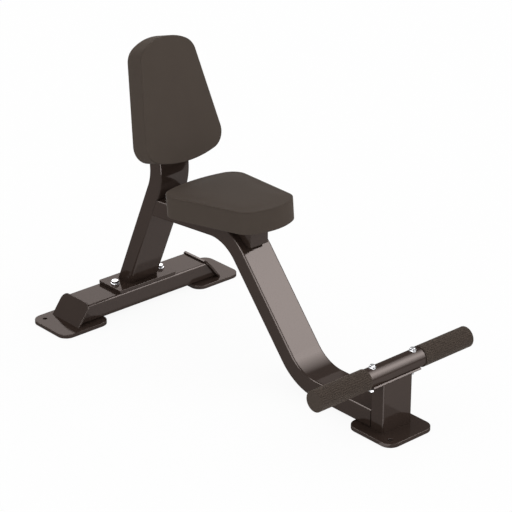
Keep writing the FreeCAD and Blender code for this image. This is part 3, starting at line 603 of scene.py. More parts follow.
class BENCH_OT_foot_plates(BenchOperator, bpy.types.Operator):
    """Floor plates with round corners and holes for floor bolts"""
    bl_idname = "bench.foot_plates"
    bl_label = "Foot plates"

    front_hole: spot("Front hole", "Place of the front hole from the plate's middle",
                     -0.055, -0.054, unit="LENGTH")
    rear_hole: spot("Rear hole", "Place of a rear hole, outwards and back",
                    0.051, 0.0505, unit="LENGTH")

    def execute(self, context):
        sizes = context.scene.bench_frame
        holes = {"front_foot_plate": tuple(self.front_hole)}
        for side, sign in SIDES.items():
            holes[f"rear_foot_plate_{side}"] = (sign * self.rear_hole[0], self.rear_hole[1])
        for node, place in holes.items():
            level_plate(node, sizes.foot_corner, sizes.edge, [(*place, sizes.floor_hole / 2)],
                        steps=16)
        return {"FINISHED"}


class BENCH_OT_crossbeam(BenchOperator, bpy.types.Operator):
    """Rear crossbeam with slanted ends, and the leaning plates that close them"""
    bl_idname = "bench.crossbeam"
    bl_label = "Crossbeam and end plates"

    def execute(self, context):
        sizes = context.scene.bench_frame
        _, high, middle, (_, deep, tall) = measured("rear_crossbeam")
        section = rounded_rectangle(deep, tall, sizes.corner)
        plane = np.column_stack([np.zeros(len(section)), section])
        normal = np.array([math.sin(sizes.end_slope), 0, math.cos(sizes.end_slope)])
        right = slide_to_plane(plane, X, np.array([high[0], 0, -tall / 2]), normal)
        # A ring just inside each end keeps the shading of the long faces flat.
        share = np.array([0, 0.004, 0.996, 1])[:, None, None]
        dressed(closed(right * [-1, 1, 1] * (1 - share) + right * share), "rear_crossbeam",
                shifted(middle))
        for side, sign in SIDES.items():
            self.end_plate(sizes, f"crossbeam_end_plate_{side}", sign)
        return {"FINISHED"}

    def end_plate(self, sizes, node, sign):
        """Plate drawn flat, s up its slope and t inwards from its outer face, then leaned:
        x = outer edge - s cos - t sin, z = s sin - t cos, its foot cut level."""
        low, high, middle, (_, deep, tall) = measured(node)
        slant = sizes.end_slope
        long = tall / math.sin(slant)

        def outline_at(inset):
            """Rectangle with two round upper corners and two square lower ones."""
            centre = [deep / 2 - sizes.end_corner, long - sizes.end_corner]
            upper = round_corner(sizes.end_corner - inset, 12) + centre
            side, rise = deep / 2 - inset, 0.4 * MM
            foot = [[-side, rise], [-side, 0], [side, 0], [side, rise]]
            return np.vstack([upper, (upper * [-1, 1])[::-1], foot])

        outer = max(abs(low[0]), abs(high[0]))

        def lean(points):
            across, s, t = points.T
            s = s + (1 - s / long) * t / math.tan(slant)
            x = outer - s * math.cos(slant) - t * math.sin(slant)
            z = low[2] + s * math.sin(slant) - t * math.cos(slant)
            return np.column_stack([sign * x, middle[1] + across, z])

        dressed(slab(outline_at, sizes.end_thick, sizes.edge), node, lean)


def tube_size():
    """Width and depth of the frame's tube, read from the spine and the crossbeam."""
    return measured("spine")[3][0], measured("rear_crossbeam")[3][2]


def flange_top():
    """Where the upright's centre line meets its flange, as (y, z)."""
    _, high, middle, _ = measured("upright_base_flange")
    return middle[1], high[2]


def ahead_and_normal(heading):
    """Direction of a heading in the Y-Z plane, and its normal."""
    c, s = math.cos(heading), math.sin(heading)
    return np.array([0, c, s]), np.array([0, -s, c])


def upright_line(sizes):
    """Centre line of the upright, from the flange to its open top. The tube's highest corner
    lies half its depth times the lean's sine above the line's end, and the cap's lid adds to
    that along the tube."""
    start, turn = math.pi / 2 + sizes.lean, -(sizes.lean + sizes.recline)
    bend, headings = bent_line(flange_top(), start, [sizes.lower, turn], sizes.bend)
    end = polar(headings[-1])
    corner = bend[-1][1] + abs(end[0]) * tube_size()[1] / 2
    run = (measured("upright_top_cap")[1][2] - corner) / end[1] - LID
    return bent_line(flange_top(), start, [sizes.lower, turn, run], sizes.bend)


class BENCH_OT_upright(BenchOperator, bpy.types.Operator):
    """Flange, bent upright and the plug in its top"""
    bl_idname = "bench.upright"
    bl_label = "Upright, flange and cap"

    def execute(self, context):
        sizes = context.scene.bench_frame
        level_plate("upright_base_flange", sizes.plate_corner, sizes.edge)
        line, headings = upright_line(sizes)
        rings = carried(rounded_rectangle(*tube_size(), sizes.corner), line, headings)
        ahead, _ = ahead_and_normal(headings[0])
        for index, above in enumerate((0, EASE)):
            rings[index] = slide_to_plane(rings[index], ahead, Z * (flange_top()[1] + above), Z)
        dressed(closed(rings), "upright")
        self.cap(sizes, line[-1], headings[-1])
        return {"FINISHED"}

    def cap(self, sizes, top, heading):
        """Lid over the tube's open top: the tube's outline with a well rounded upper edge, as
        rows of (inset, height) in millimetres that end at the lid's height."""
        wide, deep = tube_size()
        rows = [(0.3, 0), (0, 0.25), (0, 1.2), (0.35, 1.9), (1.1, 2.6), (2.2, 2.93),
                (3.2, LID / MM)]
        rings = [raised(rounded_rectangle(wide - 2 * inset, deep - 2 * inset,
                                          sizes.corner - inset), height)
                 for inset, height in np.array(rows) * MM]
        ahead, normal = ahead_and_normal(heading)
        dressed(closed(rings), "upright_top_cap", put_on([0, *top], X, normal, ahead),
                "polypropylene_moulded")


def spine_rings(sizes):
    """Rings of the spine's tube, with its line and headings. Its underside lies on the front
    foot plate, and its last ring in the upright's front face."""
    across, through = tube_size()
    start = (measured("front_post")[1][1], measured("front_foot_plate")[1][2] + through / 2)
    line, headings = bent_line(start, 0.0, [
        sizes.flat, sizes.incline_slope, sizes.incline,
        -(sizes.incline_slope + sizes.seat_tilt), sizes.rail], sizes.bend)
    rings = carried(rounded_rectangle(across, through, sizes.corner), line, headings)
    ahead, _ = ahead_and_normal(headings[-1])
    face = -np.array([0, math.cos(sizes.lean), math.sin(sizes.lean)])
    rings[-1] = slide_to_plane(rings[-1], ahead, np.array([0, *flange_top()]) + face * through / 2,
                               face)
    rings[-2] = rings[-1] - EASE * ahead
    return rings, line, headings


class BENCH_OT_spine(BenchOperator, bpy.types.Operator):
    """Bent main tube from the front post to the upright"""
    bl_idname = "bench.spine"
    bl_label = "Spine"

    def execute(self, context):
        dressed(closed(spine_rings(context.scene.bench_frame)[0]), "spine")
        return {"FINISHED"}


def cradle_radius():
    """Outer radius of the bar's cradle: it lies that far below the bar's axis."""
    return measured("foot_bar")[2][2] - measured("foot_bar_cradle")[0][2]


class BENCH_OT_front_post(BenchOperator, bpy.types.Operator):
    """Front post and the curved cradle that carries the foot bar"""
    bl_idname = "bench.front_post"
    bl_label = "Front post and cradle"

    def execute(self, context):
        self.post(context.scene.bench_frame)
        self.cradle(context.scene.bench_bar, context.scene.bench_frame.edge)
        return {"FINISHED"}

    def post(self, sizes):
        """Tube whose top follows the cradle: height = bar's axis - sqrt(cradle radius^2 - y^2),
        with y measured from the axis, and nowhere above the post's own top."""
        low, high, middle, size = measured("front_post")
        section = two_sided(*size[:2], sizes.post_corner, 30)
        top = measured("foot_bar")[2][2] - np.sqrt(cradle_radius() ** 2 - section[:, 1] ** 2)
        top = np.minimum(top, high[2])
        section = section + middle[:2]
        dressed(closed([raised(section, level)
                        for level in (low[2], low[2] + MM, top - MM, top)],
                       Shell.cap, Shell.strips), "front_post")

    def cradle(self, sizes, edge):
        """Flat strip of the cradle's thickness bent round the bar: a point at distance v from the
        strip's middle layer and u along it lands at radius R + v and turn u / R from straight
        down, where R is the middle layer's radius."""
        low, _, _, (wide, _, _) = measured("foot_bar_cradle")
        thick = cradle_radius() - sizes.bar
        layer = sizes.bar + thick / 2
        around = 2 * sizes.cradle_span * layer
        rings = [raised(two_sided(thick - 2 * inset, around - 2 * inset,
                                  max(edge * 1.3 - inset, 0.2 * MM), 40), reach)
                 for inset, reach in edge_rows(wide, edge)]
        axis = measured("foot_bar")[2]

        def bent(points):
            v, u, reach = points.T
            return np.column_stack([low[0] + reach, axis[1] + (layer + v) * np.sin(u / layer),
                                    axis[2] - (layer + v) * np.cos(u / layer)])

        dressed(closed(rings, Shell.strips, Shell.strips), "foot_bar_cradle", bent)


def lying(centre, sign=1):
    """Turn a shape drawn about Z so that it lies along X on a centre line."""
    def where(points):
        x, y, z = points.T
        return np.column_stack([sign * z, sign * x, y]) + [0, centre[1], centre[2]]
    return where


class BENCH_OT_foot_bar(BenchOperator, bpy.types.Operator):
    """Round foot bar and the ribbed rubber grip on each end"""
    bl_idname = "bench.foot_bar"
    bl_label = "Foot bar and grips"

    def execute(self, context):
        _, _, centre, size = measured("foot_bar")
        half, _, radius = size / 2
        rim = 0.8 * MM
        rows = [(radius - rim, -half), (radius, -half + rim), (radius, half - rim),
                (radius - rim, half)]
        rings = np.stack([raised(circle(r, 128), x) for r, x in rows])
        dressed(poled(Shell(), rings, Z * -half, Z * half), "foot_bar", lying(centre))
        for side, sign in SIDES.items():
            self.grip(context.scene.bench_bar, f"foot_grip_{side}", sign, centre, radius, half)
        return {"FINISHED"}

    def grip(self, sizes, node, sign, centre, bar, half):
        """Sleeve about the bar: radius = the row's radius less the groove's depth times its share
        times (1 - |cos(ribs x turn / 2)| to the power 0.35), so that the grooves run out over the
        rounded rims. Its rows are (radius, reach, share of the groove)."""
        low, high, _, size = measured(node)
        inner, outer = sorted(np.abs([low[0], high[0]]))
        radius, edge, start, gap = size[2] / 2, sizes.grip_edge, 1 * MM, 0.1 * MM
        count = sizes.ribs * 16
        turns = np.linspace(0, 2 * math.pi, count, endpoint=False)
        wave = np.abs(np.cos(turns * sizes.ribs / 2)) ** 0.35
        rim = quarter_turn(6)
        rows = [(bar * 0.6, half + gap, 0), (bar + gap, half + gap, 0), (bar + gap, inner, 0)]
        rows += [(radius - start * (1 - math.sin(a)), inner + start * (1 - math.cos(a)),
                  0.6 + 0.4 * math.sin(a)) for a in rim]
        rows += [(radius, inner + (outer - inner) * share, 1) for share in (0.03, 0.5, 0.97)]
        rows += [(radius - edge * (1 - math.cos(a)), outer - edge * (1 - math.sin(a)),
                  max(0.0, math.cos(a) - 0.3) / 0.7) for a in rim]
        rows += [(radius * 0.6, outer, 0)]
        rings = np.stack([raised(circle(1, count)
                                 * (r - sizes.rib_depth * groove * (1 - wave))[:, None], x)
                          for r, x, groove in rows])
        dressed(poled(Shell(), rings, Z * (half + gap), Z * outer), node, lying(centre, sign),
                "rubber_extruded", sharp=50)


class BENCH_OT_fasteners(BenchOperator, bpy.types.Operator):
    """Bolts, washers and nuts of the flange and of the foot bar"""
    bl_idname = "bench.fasteners"
    bl_label = "Fasteners"

    bar_turn: slope("Bar bolts' turn", "How far the foot bar's bolt heads are turned", 12)
    flange_turn: slope("Flange bolts' turn", "How far the flange bolts' heads are turned", 20)

    def execute(self, context):
        sizes = context.scene.bench_bar
        shells = {**self.flange_bolts(sizes), **self.bar_bolts(sizes)}
        for node, (shell, sharp) in shells.items():
            dressed(shell, node, None, "zinc_plated_steel", sharp)
        return {"FINISHED"}

    def flange_bolts(self, sizes):
        """Hexagon head over a flat washer on each side of the upright."""
        low, high, middle, (_, wide, thick) = measured("flange_washers")
        tip, top = np.array(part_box("flange_bolts"))[:, 2] - low[2]
        under, radius = top - sizes.flange_head, sizes.flange_thread / 2
        turns = hexagon_turns() + self.flange_turn
        heads, rings = Shell(), Shell()
        for sign in SIDES.values():
            at = np.array([sign * (high[0] - wide / 2), middle[1], low[2]])
            self.flat_washer(rings, wide / 2, radius + BORE_PLAY, thick, at)
            shank = round_rows([radius - MM, radius, radius], [tip, tip + MM, under], turns)
            head = hexagon_rows(sizes.flange_flats, under, top, turns)
            stacked(heads, [shank, head], turns, at)
        return {"flange_washers": (rings, 32), "flange_bolts": (heads, 24)}

    def bar_bolts(self, sizes):
        """Through bolts with shaped washers on the bar and under its cradle, and nuts."""
        _, saddle_high, _, saddle = measured("foot_bar_saddle_washers")
        washer_low, _, _, washer = measured("foot_bar_washers")
        tip, top = np.array(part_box("foot_bar_bolts"))[:, 2]
        nut_low, nut_high = np.array(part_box("foot_bar_nuts"))[:, 2]
        bar = measured("foot_bar")[2]
        turns = hexagon_turns() + self.bar_turn
        radius, under = sizes.thread / 2, top - sizes.head
        bore, hole = radius + BORE_PLAY, np.full(len(turns), radius + 0.1 * MM)
        saddles, heads, washers, nuts = Shell(), Shell(), Shell(), Shell()
        for sign in SIDES.values():
            at = np.array([sign * (saddle_high[0] - saddle[1] / 2), bar[1], 0])
            self.saddle_washer(saddles, sizes.bar, saddle[1] / 2, bore, saddle_high[2] - bar[2],
                               at + bar * Z)
            self.saddle_washer(washers, cradle_radius(), washer[1] / 2, bore,
                               bar[2] - washer_low[2], at + bar * Z, flip=True)
            end = round_rows([radius - 1.2 * MM, radius - 0.3 * MM], [tip, tip + MM], turns)
            thread = thread_rows(sizes.thread, sizes.pitch, tip + 1.1 * MM, nut_low + 2 * MM,
                                 turns)
            shank = round_rows([radius, radius], [nut_low + 2.2 * MM, under], turns)
            stacked(heads, [end, thread, shank, hexagon_rows(sizes.flats, under, top, turns)],
                    turns, at)
            radii, levels = hexagon_rows(sizes.flats, nut_low, nut_high, turns, both=True)
            flare = 0.5 * MM
            looped(nuts, [*zip(radii, levels), (hole + flare, nut_high), (hole, nut_high - flare),
                          (hole, nut_low + flare), (hole + flare, nut_low)], turns, at)
        return {"foot_bar_saddle_washers": (saddles, 32), "foot_bar_bolts": (heads, 24),
                "foot_bar_washers": (washers, 32), "foot_bar_nuts": (nuts, 24)}

    def saddle_washer(self, shell, around, outer, bore, top, at, flip=False):
        """Washer whose underside lies on a tube: level = sqrt(tube radius^2 - y^2), with y the
        radius times the sine of the turn. Flipped, it lies under the tube."""
        def underside(radius):
            return np.sqrt(around ** 2 - (radius * np.sin(ROUND_TURNS)) ** 2)

        rim = 0.5 * MM
        profile = [(bore, underside(bore)), (bore, top), (outer - rim, top),
                   (outer - 0.3 * rim, top - 0.3 * rim), (outer, top - rim),
                   (outer, underside(outer) + 0.1 * MM)]
        profile += [(radius, underside(radius))
                    for radius in np.linspace(outer - 0.3 * MM, bore, 6)[:-1]]
        looped(shell, profile, ROUND_TURNS, at, flip)

    def flat_washer(self, shell, outer, bore, thick, at):
        """Punched washer: flat ring with slightly rounded outer edges."""
        rim, cut = 0.35 * MM, outer - 0.1 * MM
        looped(shell, [(bore, 0), (bore, thick), (outer - rim, thick), (cut, thick - rim / 3),
                       (outer, thick - rim), (outer, rim), (cut, rim / 3), (outer - rim, 0)],
               ROUND_TURNS, at)


class BENCH_OT_seat_support(BenchOperator, bpy.types.Operator):
    """Riser on the spine's bend and the mounting plate under the seat"""
    bl_idname = "bench.seat_support"
    bl_label = "Seat support"

    def execute(self, context):
        """The riser's foot follows the spine's upper face and its head the plate's underside:
        each point's height is read off those two lines at the point's own y."""
        sizes = context.scene.bench_frame
        origin, _, ahead, up = pad_frame("seat")
        under = origin - up * sizes.seat_plate_thick
        low, _, middle, size = measured("seat_riser")
        section = two_sided(*size[:2], sizes.riser_corner, 30) + middle[:2]
        _, line, headings = spine_rings(sizes)
        top = line + tube_size()[1] / 2 * polar(headings + math.pi / 2)
        foot = np.maximum(np.interp(section[:, 1], top[:, 0], top[:, 1]), low[2])
        head = under[2] - (section[:, 1] - under[1]) * up[1] / up[2]
        ease = 0.6 * MM
        dressed(closed([raised(section, level) for level in (foot, foot + ease, head - ease, head)],
                       Shell.strips, Shell.strips), "seat_riser")
        long = sizes.seat_plate_long
        shell = rounded_slab(measured("seat_mounting_plate")[3][0], long, sizes.seat_plate_thick,
                             sizes.seat_plate_corner, sizes.seat_plate_edge)
        dressed(shell, "seat_mounting_plate",
                put_on(under + (sizes.seat_plate_back + long / 2) * ahead, X, ahead, up))
        return {"FINISHED"}


# ---- pads ----

def pad_frame(name):
    """Origin and axes of a pad: across, ahead (forwards on the seat, up the backrest) and up
    from its board, which is across x ahead. The origin is the board's first reach along ahead,
    plus the bow and less the inset, and its lowest reach along up."""
    scene = bpy.context.scene
    across, heading = {"seat": (-X, math.pi - scene.bench_frame.seat_tilt),
                       "backrest": (X, math.pi / 2 - scene.bench_frame.recline)}[name]
    ahead, _ = ahead_and_normal(heading)
    up = np.cross(across, ahead)
    points = read_points(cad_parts[f"{name}_board"].data)
    start = (points @ ahead).min() + scene.bench_pads.bow_wide - BOARD_INSET
    return start * ahead + (points @ up).min() * up, across, ahead, up


def pad_outline(pads, count):
    """Outline of the pad: two side lines, an arc bowed out over each end and a round corner
    between each line and arc. A corner's centre lies a corner radius inside the line and on the
    circle about the arc's centre whose radius is the arc's less the corner's. The points are
    spread evenly by length, from the middle of the wide end round to the right."""
    side = np.array([pads.narrow / 2 - pads.wide / 2, pads.long])
    side = side / np.linalg.norm(side)
    normal = np.array([side[1], -side[0]])
    offset = normal @ np.array([pads.wide / 2, 0])
    path = []
    for end, chord, bow, corner in ((-1, pads.wide, pads.bow_wide, pads.corner_wide),
                                    (1, pads.narrow, pads.bow_narrow, pads.corner_narrow)):
        radius = (chord ** 2 / 4 + bow ** 2) / (2 * bow)
        middle = np.array([0, radius - bow if end < 0 else pads.long + bow - radius])
        # The corner's centre: middle + (along) side + (out) normal, at radius - corner.
        out = offset - corner - normal @ middle
        run = end * math.sqrt((radius - corner) ** 2 - out ** 2)
        centre = middle + out * normal + run * side
        outward = (centre - middle) / np.linalg.norm(centre - middle)
        meeting = math.atan2(outward[1], outward[0])
        bowed = middle + radius * polar(np.linspace(math.atan2(end, 0), meeting, 200))
        line_at = math.atan2(normal[1], normal[0])
        line_at += 2 * math.pi * round((meeting - line_at) / (2 * math.pi))
        rounded = centre + corner * polar(np.linspace(meeting, line_at, 60))
        path.append(np.vstack([bowed, rounded[1:]])[::-end])
    half = np.vstack(path)
    whole = np.vstack([half, (half * [-1, 1])[::-1][1:-1], half[:1]])
    reach = np.concatenate([[0], np.cumsum(np.linalg.norm(np.diff(whole, axis=0), axis=1))])
    even = np.linspace(0, reach[-1], count, endpoint=False)
    return np.column_stack([np.interp(even, reach, whole[:, i]) for i in (0, 1)])


def outward_normals(outline):
    """Unit normals of an outline that runs anticlockwise, from its neighbours' differences."""
    ahead = np.roll(outline, -1, 0) - np.roll(outline, 1, 0)
    ahead /= np.linalg.norm(ahead, axis=1)[:, None]
    return np.column_stack([ahead[:, 1], -ahead[:, 0]])


def pad_profile(pads):
    """Rows of the pad from the middle of its top panel, over the shoulder, past the seam, down
    the side band, round the board's edge and under as a hem: (share, inset, height), where a
    share below 1 shrinks the outline towards the pad's middle."""
    shoulder, thick, foot = pads.shoulder, pads.thick, 3 * MM
    low = thick - shoulder
    rows = [(share, shoulder, thick) for share in (0.04, *np.linspace(0.1, 0.9, 17), 0.94, 0.97)]
    rows += [(1, shoulder * (1 - math.sin(a)), thick - shoulder * (1 - math.cos(a)))
             for a in quarter_turn(14)]
    rows += [(1, 0, z) for z in np.linspace(low - 0.3 * MM, low - 3.9 * MM, 13)]
    rows += [(1, 0, z) for z in np.linspace(low - 6 * MM, 5 * MM, 16)]
    rows += [(1, foot * (1 - math.cos(a)), foot * (1 - math.sin(a))) for a in quarter_turn(6)[1:]]
    rows += [(1, inset, 0) for inset in np.linspace(6 * MM, pads.hem, 5)]
    return np.array(rows)


def pad_points(outline, normals, rows, middle):
    """Grid of the pad's points: (outline - inset times normal) shrunk about the middle by the
    row's share, at the row's height."""
    share, inset, height = rows.T
    flat = outline[None] - inset[:, None, None] * normals[None]
    flat = middle + (flat - middle) * share[:, None, None]
    level = np.broadcast_to(height[:, None, None], (*flat.shape[:2], 1))
    return np.concatenate([flat, level], -1)


def evaluated(thing):
    """New mesh of an object with its modifiers applied."""
    graph = bpy.context.evaluated_depsgraph_get()
    return bpy.data.meshes.new_from_object(thing.evaluated_get(graph))


def stuffed(points, pads):
    """Swell the pad's blank with cloth pressure while the lowest band is held at the board.
    Returns the swollen cover. Each point's move is eased to the most allowed: most times tanh
    of move over most."""
    shell = Shell()
    numbers = shell.grid(points)
    shell.fan(numbers[0], (0, points[0, :, 1].mean(), points[0, 0, 2]))
    shell.cap(numbers[-1])
    blank = shell.build("pad_blank")
    remesh = blank.modifiers.new("even", "REMESH")
    remesh.mode, remesh.voxel_size, remesh.use_smooth_shade = "VOXEL", 5 * MM, True
    mesh = evaluated(blank)
    bpy.data.objects.remove(blank)
    cover = linked("pad_cover", mesh)
    rest = read_points(mesh)
    held = cover.vertex_groups.new(name="held")
    held.add(np.flatnonzero(rest[:, 2] < 6 * MM).tolist(), 1.0, "REPLACE")
    cloth = cover.modifiers.new("stuffing", "CLOTH")
    settings, last = cloth.settings, 20
    settings.quality, settings.mass = 6, 0.3
    settings.tension_stiffness = settings.compression_stiffness = 40
    settings.shear_stiffness, settings.bending_stiffness = 20, 2
    settings.use_pressure, settings.uniform_pressure_force = True, 4
    settings.vertex_group_mass = "held"
    settings.effector_weights.gravity = 0
    cloth.point_cache.frame_start, cloth.point_cache.frame_end = 1, last
    for step in range(1, last + 1):
        bpy.context.scene.frame_set(step)
    swollen = evaluated(cover)
    bpy.context.scene.frame_set(1)
    shift = read_points(swollen) - rest
    far = np.linalg.norm(shift, axis=1)
    capped = shift * (np.tanh(far / pads.swell) * pads.swell / np.maximum(far, 1e-9))[:, None]
    swollen.vertices.foreach_set("co", (rest + capped).astype(np.float32).ravel())
    swollen.update()
    print("pad swells", (far.max() / MM).round(2), "mm, kept", pads.swell / MM)
    cover.modifiers.clear()
    cover.data = swollen
    return cover


def drawn_onto(points, target):
    """Nearest place on another object's surface for each point, by a shrinkwrap modifier."""
    mesh = bpy.data.meshes.new("net")
    mesh.from_pydata(points.reshape(-1, 3).tolist(), [], [])
    net = linked("net", mesh)
    wrap = net.modifiers.new("wrap", "SHRINKWRAP")
    wrap.target, wrap.wrap_method = target, "NEAREST_SURFACEPOINT"
    found = read_points(evaluated(net)).reshape(points.shape)
    bpy.data.objects.remove(net)
    return found


def surface_normals(grid):
    """Unit normals of a grid that is closed around: the cross product of its two differences,
    turned so that they point up out of the top panel."""
    around = np.roll(grid, -1, 1) - np.roll(grid, 1, 1)
    normals = np.cross(np.gradient(grid, axis=0), around)
    normals /= np.maximum(np.linalg.norm(normals, axis=2), 1e-12)[..., None]
    return -normals if normals[2, :, 2].mean() < 0 else normals


def smoothed(field, times):
    """Average a field over its neighbours along both directions of the grid, several times."""
    for _ in range(times):
        around = (np.roll(field, 1, 1) + np.roll(field, -1, 1)) / 2
        padded = np.concatenate([field[:1], field, field[-1:]])
        down = (padded[:-2] + padded[2:]) / 2
        field = (field * 2 + around + down) / 4
    return field


def pad_shell(pads):
    """Skin of the pad: the blank's points pushed out along their normals by as much as the
    stuffing swells it, less a narrow valley along the seam below the shoulder, whose depth
    falls off as e to minus the square of the distance over its width."""
    outline = pad_outline(pads, 420)
    normals = outward_normals(outline)
    rows = pad_profile(pads)
    share, _, height = rows.T
    middle = np.array([0, pads.long / 2])
    grid = pad_points(outline, normals, rows, middle)
    out = surface_normals(grid)
    slim = rows.copy()
    slim[:, 1] += 1 * MM
    slim[:, 2] -= 1.5 * MM * np.clip(height / pads.thick, 0, 1)
    cover = stuffed(pad_points(outline, normals, slim, middle), pads)
    swell = ((drawn_onto(grid, cover) - grid) * out).sum(-1)
    bpy.data.objects.remove(cover)
    # The cover lies taut within 12 mm of the board and 30 mm of the seam.
    from_edge = (1 - share) * pads.wide / 2 + pads.thick - height
    hold = np.clip(height / (12 * MM), 0, 1) * np.clip(from_edge / (30 * MM), 0, 1) ** 1.5
    swell = smoothed(np.clip(swell, 0, pads.swell), 30) * hold[:, None]
    from_seam = np.abs(height - (pads.thick - pads.shoulder - 1.6 * MM))
    valley = (pads.seam * np.exp(-(from_seam / (0.8 * MM)) ** 2))[:, None]
    grid = grid + out * (swell - valley)[..., None]
    shell = Shell()
    numbers = shell.grid(grid)
    shell.fan(numbers[0], grid[0].mean(0))
    # Under the hem the skin turns back up to the board, so that the piece is closed.
    tuck = shell.ring(grid[-1] + MM * Z)
    edge = numbers[-1]
    shell.faces += np.stack([edge, np.roll(edge, -1), np.roll(tuck, -1), tuck], -1).tolist()
    shell.cap(tuck)
    return shell


class BENCH_OT_pads(BenchOperator, bpy.types.Operator):
    """Upholstered seat and backrest, cut from one pattern"""
    bl_idname = "bench.pads"
    bl_label = "Pads"

    def execute(self, context):
        shell = pad_shell(context.scene.bench_pads)
        for name in ("seat", "backrest"):
            piece = dressed(shell, f"{name}_pad", put_on(*pad_frame(name)), "vinyl_embossed",
                            sharp=70)
        return {"FINISHED"}


class BENCH_OT_hidden_pieces(BenchOperator, bpy.types.Operator):
    """Finishes of the CAD pieces that keep their own shape: boards, nuts and pad fasteners"""
    bl_idname = "bench.hidden_pieces"
    bl_label = "Boards and inner fasteners"

    def execute(self, context):
        kept = {
            "plywood_birch": ("seat_board", "backrest_board"),
            "zinc_plated_steel": ("flange_weld_nuts", "seat_tee_nuts", "backrest_tee_nuts",
                                  "seat_washers", "backrest_washers", "seat_bolts",
                                  "backrest_bolts"),
        }
        for look, nodes in kept.items():
            for node in nodes:
                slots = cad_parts[node].data.materials
                slots.clear()
                slots.append(finish(look))
        return {"FINISHED"}


# ---- stage ----

def studio_sheet(name, corners):
    """Flat sheet of the stage, and the tree of its empty material."""
    shell = Shell()
    shell.cap(shell.ring(corners))
    thing = shell.build(name)
    material, tree, _ = new_finish(name)
    thing.data.materials.append(material)
    return thing, tree


